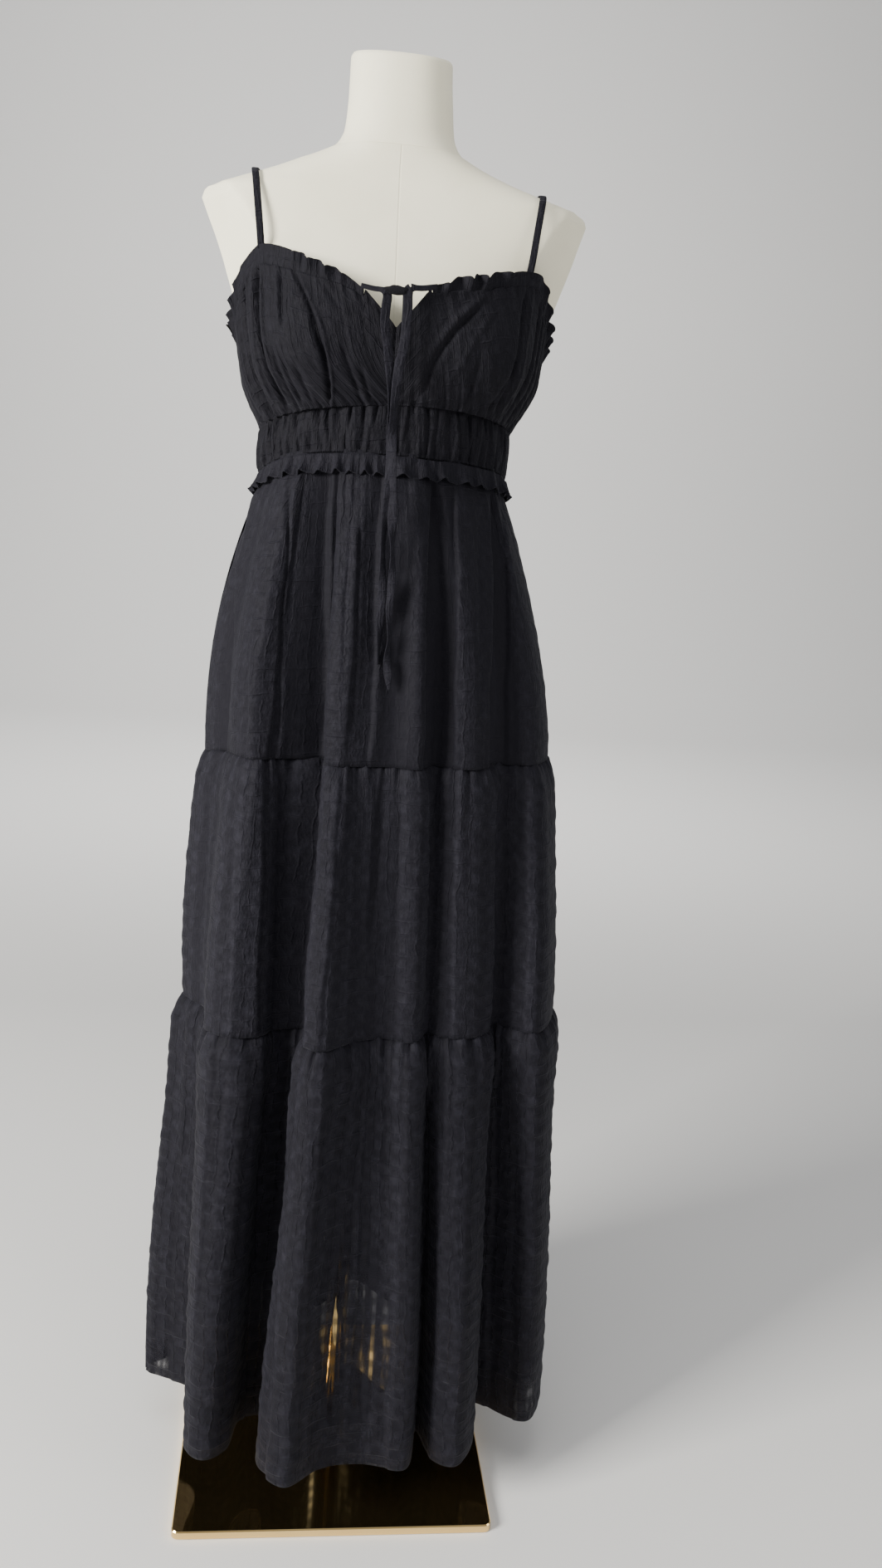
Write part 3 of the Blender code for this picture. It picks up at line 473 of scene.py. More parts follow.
def through(points, at):
    """Closed smooth curves through rings of points (..., turns, 2), at counted in turns.

    Between two points it is a cubic whose slopes weigh the chords by the roots of their lengths.
    """
    n = points.shape[-2]
    i = np.floor(at).astype(int)
    u = (at - i)[:, None]
    p0, p1, p2, p3 = (points[..., (i + k) % n, :] for k in (-1, 0, 1, 2))
    d01, d12, d23 = (np.sqrt(np.linalg.norm(b - a, axis=-1))[..., None] + 1e-6
                     for a, b in ((p0, p1), (p1, p2), (p2, p3)))
    m1 = d12 * ((p1 - p0) / d01 - (p2 - p0) / (d01 + d12) + (p2 - p1) / d12)
    m2 = d12 * ((p2 - p1) / d12 - (p3 - p1) / (d12 + d23) + (p3 - p2) / d23)
    return (p1 * (1 + 2 * u) * (1 - u) ** 2 + m1 * u * (1 - u) ** 2
            + p2 * u * u * (3 - 2 * u) + m2 * u * u * (u - 1))


def skirt_turns():
    """Turns of the skirt's wall at the waist, seam 1, seam 2 and the hem, and plain ovals."""
    levels = []
    for k in range(3):
        centre, half, front, back = SKIRT_OVALS[k]
        turns = [(row[1 + 2 * k] * MM, -row[2 + 2 * k] * MM) for row in FRONT_TURNS]
        for degrees, reach in BACK_TURNS:
            point, out = oval(np.radians(degrees), centre, half, front, back)
            turns.append(tuple(point + out * reach * BACK_SHARE[k] * MM))
        levels.append(np.array(turns))
    centre, half, front, back = SKIRT_OVALS[0]
    x, y = levels[0][:, 0] - centre, levels[0][:, 1]
    bearing = np.arctan2(x / half, -y / np.where(y < 0, front, back))
    point, out = oval(bearing, centre, half, front, back)
    reach = np.sum((levels[0] - point) * out, axis=1)
    bearing = bearing + np.radians(WAIST_FAN) * np.sin(2 * bearing)
    plain, out = oval(bearing, WAIST_CENTRE, WAIST_HALF, WAIST_FRONT, WAIST_BACK)
    waist = plain + out * np.clip(reach * WAIST_FOLD_SHARE, -WAIST_FOLD, WAIST_FOLD)[:, None]
    return [waist] + levels, [plain, point]


def tier_surface(levels, tier, at, share):
    """Points (rows, columns) of a tier, the level way out there, and the drop below its top seam.

    The turns ease from the upper seam's to the lower one's, 1 - (1 - s)^p with s the share of the
    way down, and a smooth curve runs through them at each row.
    """
    upper, lower = levels[tier - 1], levels[tier]
    power = np.full(len(upper), TIER_EASE[tier])
    if tier == 1:
        power = power - RIGHT_LAG * np.maximum(lower[:, 0], 0.4 * lower[:, 0])
    moved = np.maximum(0.0, share - TIER_LAG[tier]) / (1 - TIER_LAG[tier])
    eased = (1 - (1 - moved[:, None]) ** power)[..., None]
    turns = upper + (lower - upper) * eased
    point = through(turns, at)
    along = through(turns, at + 0.01) - through(turns, at - 0.01)
    out = np.stack([along[..., 1], -along[..., 0]], axis=-1)
    out /= np.linalg.norm(out, axis=-1, keepdims=True)
    waist = through(levels[0], at)
    depth = np.where(waist[:, 1] < 0, WAIST_FRONT, WAIST_BACK)
    bearing = np.arctan2((waist[:, 0] - WAIST_CENTRE) / WAIST_HALF, -waist[:, 1] / depth)
    flat = np.zeros(len(at))
    sag = SEAM_SAG * bell(np.degrees(bearing) - SAG_BEARING, SAG_SPREAD)
    top = {1: seam_height(BAND_BOTTOM, bearing), 2: SEAM_1 - sag, 3: flat + SEAM_2}[tier]
    bottom = {1: SEAM_1 - sag, 2: flat + SEAM_2, 3: flat + HEM}[tier]
    height = top - 0.0002 + (bottom + 0.0002 - top) * share[:, None]
    drop = top - height
    swell = PUFF[tier] * (drop / PUFF_DEPTH) * np.exp(1 - drop / PUFF_DEPTH)
    hip = bell(np.degrees(bearing) - HIP_BEARING, HIP_SPREAD)
    swell = swell + LEFT_HIP[tier] * hip * np.sin(np.pi * np.clip(share[:, None], 0, 1))
    point = point + out * swell[..., None]
    level_out = np.concatenate([out, np.zeros((*out.shape[:2], 1))], axis=-1)
    return np.concatenate([point, height[..., None]], axis=-1), level_out, drop


def cloth_across(points):
    """Distance along each row of a grid from its first column."""
    steps = np.linalg.norm(np.diff(points, axis=1), axis=-1)
    return np.concatenate([np.zeros((len(points), 1)), np.cumsum(steps, axis=1)], axis=1)


GATHER_FADE = 1.3


def gathers(across, drop, spacing, depth, reach, seed, lean=0.05):
    """Small uneven folds that fade away from a seam.

    Each is a bell across the cloth, times exp(-(drop / reach)^1.3). Places, depths, widths and
    reaches vary about the given ones, and every third fold points in.
    """
    uneven = np.random.default_rng(seed)
    count = max(3, int(across.max() / spacing))
    middle = (np.arange(count) + 0.5 + uneven.uniform(-0.38, 0.38, count)) * across.max() / count
    deep = depth * uneven.uniform(0.35, 1.25, count) * np.where(np.arange(count) % 2, -1.0, 0.75)
    wide = spacing * uneven.uniform(0.20, 0.42, count)
    long = reach * uneven.uniform(0.35, 1.9, count)
    slant = uneven.uniform(-lean, lean, count)
    move = np.zeros_like(drop)
    for k in range(count):
        off = (across - middle[k] - slant[k] * drop) / wide[k]
        move += deep[k] * np.exp(-off ** 2 - (drop / long[k]) ** GATHER_FADE)
    return move


def off_line(points, x_high, x_low, high, low):
    """Millimetres across from a line that runs between two places at two heights."""
    share = np.clip((high - points[..., 2]) / (high - low), 0.0, 1.0)
    return points[..., 0] / MM - (x_high + (x_low - x_high) * share)


def long_creases(points, table):
    """Soft grooves and ridges: bells across x that wander from one height to another.

    A row has x at the upper end and the lower end in millimetres, the two heights in metres, the
    half width and the depth in millimetres (minus goes in), and the side, -1 front or 1 back.
    """
    move = np.zeros(points.shape[:2])
    for x_high, x_low, high, low, wide, deep, side in table:
        off = off_line(points, x_high, x_low, high, low)
        inside = np.clip((high - points[..., 2]) / (0.25 * (high - low)), 0, 1) * np.clip(
            (points[..., 2] - low) / (0.30 * (high - low)), 0, 1)
        move += deep * MM * bell(off, wide) * ease(inside) * (points[..., 1] * side > 0)
    return move


def fold_edges(points, table):
    """Edges where a fold lies over its neighbour: a short step, fading away on both sides.

    A row has x at the upper end and the lower end in millimetres, the two heights in metres, then
    how far the cloth moves out on the left of the line and over what width, and the same on the
    right. Off the line it is the move times exp(-t), t the distance as a share of the width.
    """
    move = np.zeros(points.shape[:2])
    for x_high, x_low, high, low, left, left_width, right, right_width in table:
        z = points[..., 2]
        off = (off_line(points, x_high, x_low, high, low) + 1.1 * np.sin(31.0 * z + x_high)
               + 0.5 * np.sin(83.0 * z))
        inside = np.clip((high - z) / 0.02, 0, 1) * np.clip((z - low) / 0.05, 0, 1)
        turned = 0.5 + 0.5 * np.tanh(off / 1.3)
        step = (left * np.exp(-np.maximum(-off, 0) / left_width) * (1 - turned)
                + right * np.exp(-np.maximum(off, 0) / right_width) * turned)
        move += step * MM * inside * (points[..., 1] < 0)
    return move


def seersucker(across, down, pitch, depth, seed):
    """The check's relief: rows of small ridges |sin|, and puffs sin times sin that vary."""
    uneven = np.random.default_rng(seed)
    u, v = across / pitch[0], down / pitch[1]
    u = u + 0.09 * np.sin(1.3 * v + 0.6 * u) + 0.05 * np.sin(3.1 * v + 1.7)
    v = v + 0.12 * np.sin(0.9 * u + 0.9) + 0.05 * np.sin(2.7 * u)
    cells = uneven.uniform(0.15, 1.0, (256, 256))
    size = cells[np.floor(u).astype(int) % 256, np.floor(v).astype(int) % 256]
    square = np.abs(np.sin(np.pi * u) * np.sin(np.pi * v))
    row = np.abs(np.sin(np.pi * v)) * (0.5 + 0.5 * np.sin(0.9 * u + 2.3 * np.floor(v)))
    return depth * (0.55 * size * square + 0.75 * row)


def hollows(points):
    """How deep each point lies in a trough: its row's running mean, less its own reach.

    The reach is a mean over a few columns, and the mean one over a quarter of the row at most.
    The result is 0 from 1.5 mm outside the mean and 1 from 4.5 mm inside it.
    """
    reach = np.linalg.norm(points[..., :2], axis=-1)
    columns = reach.shape[1]
    wide, narrow = min(62, columns // 4), 3
    padded = np.pad(reach, ((0, 0), (wide, wide)), mode="edge")
    total = np.cumsum(np.pad(padded, ((0, 0), (1, 0))), axis=1)
    mean = (total[:, 2 * wide:] - total[:, :-2 * wide])[:, :columns] / (2 * wide)
    near = (total[:, wide + narrow:][:, :columns]
            - total[:, wide - narrow:][:, :columns]) / (2 * narrow)
    return np.clip((mean - near + 0.0015) / 0.006, 0.0, 1.0)


def way_out(points, out):
    """Unit normals of a grid of points, on the side that out points to."""
    normal = np.cross(np.gradient(points, axis=1), np.gradient(points, axis=0))
    normal /= np.linalg.norm(normal, axis=-1, keepdims=True) + 1e-12
    facing = np.sign(np.sum(normal * out, axis=-1, keepdims=True))
    return normal * np.where(facing == 0, 1.0, facing)


def cloth_wall(name, middle, out, cut, look, thickness=CLOTH):
    """Closed thin wall: the grid of middle points moved half a thickness out and in.

    cut holds each point's place on the flat cloth, in metres, and becomes the UV map.
    """
    rows, columns = middle.shape[:2]
    normal = way_out(middle, out)
    base = rows * columns
    points = np.concatenate([(middle + normal * thickness / 2).reshape(-1, 3),
                             (middle - normal * thickness / 2).reshape(-1, 3)])
    front = grid_faces(rows, columns, False)
    a, b, d = points[front[:, 0]], points[front[:, 1]], points[front[:, 3]]
    facing = np.sum(np.cross(b - a, d - a) * out.reshape(-1, 3)[front[:, 0]])
    if facing < 0:
        front = front[:, ::-1]
    rim = np.concatenate([np.arange(columns), np.arange(1, rows) * columns + columns - 1,
                          (rows - 1) * columns + np.arange(columns - 2, -1, -1),
                          np.arange(rows - 2, 0, -1) * columns])
    after = np.roll(rim, -1)
    edge = np.stack([rim, after, base + after, base + rim], axis=1)
    if facing >= 0:
        edge = edge[:, ::-1]
    faces = np.concatenate([front, base + front[:, ::-1], edge])
    thing = place_mesh(name, points, faces.tolist(), look)
    layer = thing.data.uv_layers.new(name="cut")
    flat = np.concatenate([cut.reshape(-1, 2), cut.reshape(-1, 2)])
    layer.data.foreach_set("uv", flat[faces.reshape(-1)].reshape(-1))
    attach(thing, "root")
    return thing


CHECK = (0.0170, 0.0184)                # pitch of the check across and down the cloth
DARK_BLACK, LIGHT_BLACK = (0.0066, 0.0062, 0.0092), (0.0185, 0.0178, 0.0245)
# sheer streaks in the lowest tier: x, how far off it fades out and is full, the same in height,
# and strength
PULLED = [(-0.0113, 0.0040, 0.0018, 0.36, 0.24, 1.0), (0.0310, 0.0030, 0.0010, 0.34, 0.28, 0.5)]


def stretched(cut, across, down):
    """The cloth's own coordinates, made coarser across or down by a share."""
    return cut.node("ShaderNodeMapping", {}, {0: cut, 3: (across, down, 1.0)})


def dress_cloth(name, check, sheer=0.0, tone=1.0, painted_trough_shade=0.0):
    """Black crinkled cloth: a shadow check in metres of the flat cloth, crinkle, sheer squares.

    sheer is how far the open squares let light through, check how strongly the bands show, and
    the last how much painted shade darkens the cloth where it lies deep in a fold, and how much
    flatter its bump is there.
    """
    look, wire, shader = finish(name, 0.72, Sheen_Weight=0.035, Sheen_Roughness=0.45,
                                Specular_IOR_Level=0.10)
    shader.inputs["Sheen Tint"].default_value = (0.75, 0.76, 0.88, 1.0)
    cut = wire.node("ShaderNodeUVMap", {"uv_map": "cut"})
    warp, wander = noise(cut, 24.0, 2.0), noise(cut, 110.0, 1.0)
    across = axis(cut, 0) + warp * 0.010 + wander * 0.003
    along = axis(cut, 1) + warp * 0.008 + wander * 0.003

    def stripes(value, half_pitch, low, high):
        return (wire.sum("PINGPONG", value, half_pitch) / half_pitch).step(low, high)

    band = stripes(across, CHECK[0] / 2, 0.20, 0.80)
    bar = stripes(along, CHECK[1] / 2, 0.20, 0.80)
    column_line = stripes(across + 0.0021, CHECK[0] / 4, 0.74, 0.98)
    row_line = stripes(along + 0.0031, 0.0062, 0.80, 0.99)
    patch = noise(cut, 46.0, 3.0)
    tall = stretched(cut, 1.0, 0.36)
    crinkle, fine = noise(tall, 230.0, 3.0), noise(tall, 620.0, 2.0)
    creases = noise(stretched(cut, 0.30, 1.0), 150.0, 3.0)
    square = band * bar
    open_square = square * patch.step(0.50, 0.78)
    light = (0.22 * crinkle.step(0.42, 0.70) + 0.20 * fine.step(0.35, 0.70)
             + 0.12 * row_line * patch.step(0.38, 0.62)
             + 0.06 * column_line * patch.step(0.42, 0.60)
             + check * (0.30 + 0.9 * square - 0.5 * bar) * patch.step(0.20, 0.60))
    # Painted shade: the colour darkens where the cloth lies deep in a fold, and the bump flattens
    # there.
    flat = 1.0
    if painted_trough_shade > 0:
        trough = wire.node("ShaderNodeAttribute", {"attribute_name": "hollow"}, {}, 2)
        flat = 1.0 - painted_trough_shade * trough
    dark, pale = (tuple(tone * v for v in colour) for colour in (DARK_BLACK, LIGHT_BLACK))
    join((light * flat).step(-0.10, 1.00).blend(dark, pale), shader, "Base Color")
    if sheer > 0:
        place = wire.node("ShaderNodeTexCoord", output=3)
        x, z = axis(place, 0), axis(place, 2)
        streak = noise(stretched(cut, 1.0, 0.07), 150.0, 2.0)
        single = (z.step(0.44, 0.26) * x.step(-0.045, -0.015) * x.step(0.070, 0.040)
                  + z.step(0.135, 0.115) * (x.step(-0.185, -0.200) + x.step(0.200, 0.215)))
        window = streak.step(0.47, 0.68) * (0.30 + 0.50 * bar) + 0.25 * open_square + 0.08
        pulled = 0.5 * (wire.sum("ABSOLUTE", x - 0.0235).step(0.0110, 0.0080)
                        * z.step(0.225, 0.205) * streak.step(0.38, 0.55))
        for middle, outer, inner, top, full, strength in PULLED:
            pulled = pulled + strength * (wire.sum("ABSOLUTE", x - middle).step(outer, inner)
                                          * z.step(top, full))
        pulled = pulled * z.step(0.125, 0.145)
        join(1.0 - sheer * (0.06 + single * window + 0.14 * open_square + 0.10 * column_line)
             - 0.52 * pulled * (0.65 + 0.35 * bar), shader, "Alpha")
    raised = (0.75 * crinkle + 0.50 * creases + 0.40 * fine
              + 0.46 * row_line * patch.step(0.42, 0.62)
              + 0.30 * column_line * patch.step(0.60, 0.42) + 0.60 * square * patch)
    join(wire.node("ShaderNodeBump", {}, {"Strength": 0.90, "Distance": 0.0019,
                                          "Height": raised * flat}), shader, "Normal")
    look.surface_render_method = "DITHERED"
    return look


# Tiers 1 and 2 have painted shade in their folds.
tier_looks = {1: dress_cloth("crinkle_cloth_upper", 0.24, tone=1.04, painted_trough_shade=0.62),
              2: dress_cloth("crinkle_cloth_middle", 0.46, tone=1.08, painted_trough_shade=0.25),
              3: dress_cloth("crinkle_cloth_lower", 0.54, sheer=0.42)}
TIER_MAKE = {
    1: (300, 180, 78, 0.78),
    2: (340, 210, 80, 1.00),
    3: (380, 240, 112, 1.32),
}
# for each tier, sets of gathers: spacing, depth and reach
TIER_GATHERS = {
    1: [(0.0085, 0.0012, 0.022), (0.0180, 0.0015, 0.070), (0.0400, 0.0014, 0.150)],
    2: [(0.0088, 0.0024, 0.012), (0.0150, 0.0018, 0.030), (0.0350, 0.0016, 0.120)],
    3: [(0.0105, 0.0028, 0.014), (0.0180, 0.0022, 0.040), (0.0400, 0.0018, 0.150)],
}
CREASE_SHARE = {"front": 0.45, "back": 1.25}    # of the depths that follow
# x above and below (mm), heights above and below (m), half width, depth (mm), side
TIER_CREASES = {
    1: [(-118, -146, 1.110, 0.850, 7.0, 3.2, -1), (-96, -122, 1.090, 0.850, 8.0, -3.0, -1),
        (-82, -90, 1.125, 1.030, 4.0, 2.2, -1), (-88, -104, 1.120, 0.900, 6.0, -3.0, -1),
        (-60, -56, 1.135, 0.850, 4.0, 3.4, -1), (-46, -38, 1.130, 0.960, 4.5, -2.6, -1),
        (-30, -24, 1.140, 0.860, 3.2, 3.4, -1), (-20, -12, 1.140, 0.930, 4.0, -2.2, -1),
        (2, 6, 1.140, 0.900, 4.0, -2.0, -1), (26, 36, 1.135, 0.850, 4.5, 2.4, -1),
        (34, 44, 1.135, 0.850, 3.2, -3.0, -1), (58, 72, 1.125, 0.850, 4.0, -2.0, -1),
        (84, 106, 1.115, 0.850, 3.4, -2.8, -1), (96, 122, 1.100, 0.860, 5.0, 2.4, -1),
        (-70, -88, 1.100, 0.860, 7.0, 3.0, 1), (-40, -50, 1.110, 0.900, 6.0, -3.0, 1),
        (-8, -4, 1.100, 0.850, 6.5, 3.0, 1), (24, 34, 1.110, 0.880, 5.0, -3.0, 1),
        (52, 66, 1.100, 0.850, 6.0, 3.2, 1), (84, 104, 1.090, 0.870, 5.0, -2.4, 1)],
    2: [(-156, -160, 0.842, 0.600, 4.0, -2.4, -1), (-134, -146, 0.840, 0.650, 3.6, -2.6, -1),
        (-120, -128, 0.842, 0.700, 4.5, 2.2, -1), (-20, -30, 0.842, 0.700, 4.0, -2.6, -1),
        (10, 2, 0.840, 0.640, 4.0, -3.2, -1), (24, 32, 0.842, 0.640, 3.4, -2.6, -1),
        (94, 104, 0.842, 0.700, 4.0, -2.0, -1), (84, 90, 0.842, 0.570, 4.5, 2.2, -1),
        (150, 172, 0.842, 0.640, 4.5, -2.2, -1),
        (-110, -124, 0.842, 0.620, 5.5, 2.6, 1), (-66, -74, 0.842, 0.660, 5.0, -2.8, 1),
        (-14, -18, 0.842, 0.600, 5.0, 2.6, 1), (36, 44, 0.842, 0.680, 5.0, -2.6, 1),
        (92, 106, 0.842, 0.620, 5.0, 2.4, 1)],
    3: [(-172, -186, 0.552, 0.220, 5.0, -2.4, -1), (-136, -150, 0.552, 0.330, 4.5, -2.6, -1),
        (-116, -128, 0.552, 0.260, 5.5, 2.6, -1), (-20, -34, 0.552, 0.200, 5.5, -3.2, -1),
        (6, -4, 0.552, 0.300, 4.0, -2.6, -1), (30, 40, 0.552, 0.180, 4.6, -2.8, -1),
        (50, 60, 0.552, 0.300, 3.6, 2.4, -1), (112, 124, 0.552, 0.220, 4.6, -2.8, -1),
        (178, 200, 0.552, 0.240, 5.0, -2.4, -1),
        (-136, -156, 0.552, 0.200, 6.0, 2.8, 1), (-78, -88, 0.552, 0.260, 5.5, -2.8, 1),
        (-12, -16, 0.552, 0.180, 5.5, 2.8, 1), (48, 58, 0.552, 0.280, 5.5, -2.8, 1),
        (112, 130, 0.552, 0.200, 5.5, 2.6, 1)],
}

# x above and below (mm), heights above and below (m), move and width left and right of it (mm)
TIER_EDGES = {
    1: [(-133, -151, 1.115, 1.03, -4.8, 8, 3.4, 9), (-150, -150, 1.05, 0.82, -4.2, 9, 3.4, 9),
        (-106, -124, 1.10, 0.95, -5.8, 14, 2.2, 6), (-128, -131, 0.98, 0.82, -2.6, 8, 1.8, 8),
        (-104, -99, 1.13, 1.02, 3.6, 10, -1.6, 4), (-99, -112, 1.05, 0.82, 3.4, 12, -1.4, 4),
        (-98, -102, 1.13, 0.82, 0.0, 1, 4.4, 30), (-62, -50, 1.15, 0.82, -4.8, 14, 5.0, 8),
        (-31, -33, 1.09, 0.86, 2.8, 8, -2.8, 12), (-42, -41, 1.14, 0.90, 0.8, 4, -1.2, 5),
        (-12, -8, 1.14, 0.82, 0.0, 1, 4.8, 32),
        (33, 46, 1.14, 0.82, 2.0, 12, -4.0, 12), (61, 80, 1.13, 0.82, -3.2, 9, 1.8, 10),
        (99, 117, 1.13, 0.82, 2.6, 12, -4.2, 12), (118, 140, 1.11, 0.82, -2.0, 8, 1.2, 8)],
    2: [(-169, -167, 0.85, 0.53, -1.2, 6, 1.2, 6), (-141, -135, 0.85, 0.53, -1.3, 8, 1.4, 8),
        (-112, -106, 0.85, 0.53, 1.8, 12, -3.0, 10), (-50, -60, 0.86, 0.53, -2.0, 10, 4.8, 12),
        (-36, -44, 0.85, 0.53, 1.6, 7, -1.6, 14), (-31, -27, 0.85, 0.74, 0.6, 6, -1.0, 6),
        (3, -3, 0.85, 0.66, 1.2, 12, -2.0, 8), (24, 39, 0.85, 0.53, -2.0, 10, 1.2, 10),
        (51, 72, 0.85, 0.53, 1.4, 12, -2.0, 8), (81, 97, 0.85, 0.53, -2.5, 10, 1.2, 14),
        (123, 145, 0.85, 0.53, 1.8, 14, -3.0, 14), (160, 180, 0.85, 0.53, -2.0, 14, 1.0, 10)],
    3: [(-205, -221, 0.55, 0.04, -1.0, 6, 1.4, 8), (-187, -193, 0.56, 0.04, -2.0, 10, 1.6, 10),
        (-150, -158, 0.56, 0.20, 0.8, 10, -1.2, 10), (-98, -105, 0.56, 0.04, 1.6, 14, -3.0, 8),
        (-70, -76, 0.57, 0.04, -5.0, 14, 1.6, 16), (-40, -48, 0.56, 0.12, -1.0, 10, 0.8, 10),
        (8, 11, 0.56, 0.14, 1.0, 14, -1.6, 14), (48, 56, 0.56, 0.04, -1.8, 12, 1.2, 12),
        (75, 90, 0.56, 0.12, 1.4, 12, -3.4, 6), (92, 104, 0.56, 0.04, -2.0, 5, 1.4, 12),
        (151, 180, 0.56, 0.04, 1.2, 12, -2.6, 14), (176, 210, 0.56, 0.04, -2.0, 12, 1.2, 10)],
}

levels, plain_waist = skirt_turns()
front_end = len(FRONT_TURNS) - 1
all_turns = front_end + len(BACK_TURNS) + 1


TIER_PUFFS = {1: 0.0007, 2: 0.0013, 3: 0.0018}      # depth of the check's relief
RIPPLES = [(0.0016, 0.021, 0.0), (0.0010, 0.0087, 1.0)]     # of the hem: height, length, phase


def tuck(distance, near, soft, depth):
    """How far the cloth moves in where it runs under its neighbour, nearer to it than near."""
    return depth * ease((near - distance) / soft)


def tier_panel(tier, side):
    """One length of a tier: its folds, with gathers, creases and check puffs along the way out."""
    front_columns, back_columns, rows, check_width = TIER_MAKE[tier]
    if side == "front":
        at = np.linspace(-SIDE_LAP, front_end + SIDE_LAP, front_columns + 1)
    else:
        at = np.linspace(front_end + SIDE_GAP, all_turns - SIDE_GAP, back_columns + 1)
    share = np.concatenate([[-0.012, -0.004], np.linspace(0.0, 0.06, 13)[:-1],
                            np.linspace(0.06, 1.0, rows - 14)])
    points, out, drop = tier_surface(levels, tier, at, share)
    top_tuck = tuck(drop, 0.0020, 0.0030, 0.0018)
    drop = np.maximum(drop, 0.0)
    across = cloth_across(points)
    even = np.broadcast_to(across[-1:], across.shape)
    cloth = even * (check_width / 2 / across[-1, -1])
    seed = 10 * tier + (side == "back")
    left_to_go = drop[-1:] - drop
    move = np.zeros_like(drop)
    for k, (spacing, depth, reach) in enumerate(TIER_GATHERS[tier]):
        move += gathers(even, drop, spacing, depth, reach, seed + 100 * k)
    if tier == 1:
        move *= np.clip((drop - 0.006) / 0.020, 0.15, 1.0)
    move += CREASE_SHARE[side] * long_creases(points, TIER_CREASES[tier])
    move += fold_edges(points, TIER_EDGES[tier])
    if tier < 3:
        move += gathers(even, left_to_go, 0.016, 0.0006, 0.012, seed + 5)
    move -= top_tuck
    puff = seersucker(cloth, drop, CHECK, TIER_PUFFS[tier], seed + 9)
    move += puff * np.clip(drop / 0.03, 0.2, 1.0)
    sides = np.minimum(across, across[:, -1:] - across)
    move *= np.clip(sides / 0.006, 0.0, 1.0)
    if side == "front":
        move -= tuck(sides, 0.0055, 0.0030, 0.0017)
    points = points + out * move[..., None]
    if tier == 3:
        ripple = sum(high * np.sin(cloth[-1] / long + phase) for high, long, phase in RIPPLES)
        points[..., 2] += ripple * np.clip(1 - left_to_go / 0.06, 0.0, 1.0)
    cut = np.stack([cloth, drop], axis=-1)
    piece = cloth_wall(f"skirt_tier_{tier}_{side}", points, out, cut, tier_looks[tier])
    # How deep each point lies in a fold, read by the cloth to paint shade there.
    trough = piece.data.attributes.new("hollow", "FLOAT", "POINT")
    trough.data.foreach_set("value", np.tile(hollows(points).reshape(-1), 2))
    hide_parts(f"tier_{tier}_{side}")
    return piece


# cut width in front and behind, and cut length, in metres
TIER_CUT = {1: (0.530, 0.470, 0.285), 2: (0.670, 0.650, 0.290), 3: (0.900, 0.840, 0.483)}
for tier, (front_width, back_width, length) in TIER_CUT.items():
    for side, width in (("front", front_width), ("back", back_width)):
        tier_panel(tier, side)


# Waistband
# A puckered band of the same cloth in two lengths, joined at the sides and drawn up on narrow
# elastic cords along both of its seams.

BAND_TOP = (1.179, 0.020, 0.0085, -0.0042, 60.0, 34.0)
BAND_FULL = 1.25                        # cut length for each length of the finished band
BULGE, SEAM_CORD = 0.0022, 0.0006       # how far out the band's middle and its cords stand
band_look = dress_cloth("crinkle_cloth_band", 0.04, tone=0.78)


def waistband(name, node, start, end, seed):
    """A band round the waist: a shallow bulge, narrow uneven puckers, and a cord at each edge."""
    columns, rows = 320, 26
    bearing = np.radians(np.linspace(start, end, columns + 1))
    low = seam_height(BAND_BOTTOM, bearing) + 0.0002
    high = seam_height(BAND_TOP, bearing) - 0.0002
    share = np.linspace(0.0, 1.0, rows + 1)[:, None]
    height = high + (low - high) * share
    point, out = oval(bearing, WAIST_CENTRE, WAIST_HALF, WAIST_FRONT, WAIST_BACK)
    out = np.broadcast_to(np.column_stack([out, np.zeros(columns + 1)]), (*height.shape, 3))
    points = np.concatenate([np.broadcast_to(point, (*height.shape, 2)), height[..., None]],
                            axis=-1)
    across = cloth_across(points)
    from_top, from_foot = high - height, height - low
    move = (BULGE * np.sin(np.pi * share)
            + gathers(across, from_top, 0.0058, 0.0034, 0.024, seed, 0.16)
            + gathers(across, from_foot, 0.0062, 0.0032, 0.022, seed + 1, 0.16)
            + gathers(across, from_top, 0.0110, 0.0022, 0.050, seed + 2, 0.08))
    move = move * (0.18 + 0.82 * np.clip(np.minimum(from_top, from_foot) / 0.005, 0, 1))
    for off_seam in (from_top, from_foot):
        move = move + SEAM_CORD * bell(off_seam - 0.0016, 0.0010)
    move = move - SEAM_CORD
    points = points + out * move[..., None]
    cut = np.stack([across * BAND_FULL, from_top], axis=-1)
    piece = cloth_wall(name, points, out, cut, band_look)
    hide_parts(node)


side_gap = math.degrees(0.0004 / WAIST_HALF)
waistband("waistband_cloth_front", "waistband_front", -90 + side_gap, 90 - side_gap, 71)
waistband("waistband_cloth_back", "waistband_back", 90 + side_gap, 270 - side_gap, 75)


# Waist ruffle
# A narrow strip of the same cloth with a rolled edge, gathered into the band's lower seam so that
# it stands out over the first tier.

RUFFLE_HEIGHT, RUFFLE_FULL = 0.0165, 1.4
ruffle_look = dress_cloth("crinkle_cloth_ruffle", 0.06, tone=1.1)


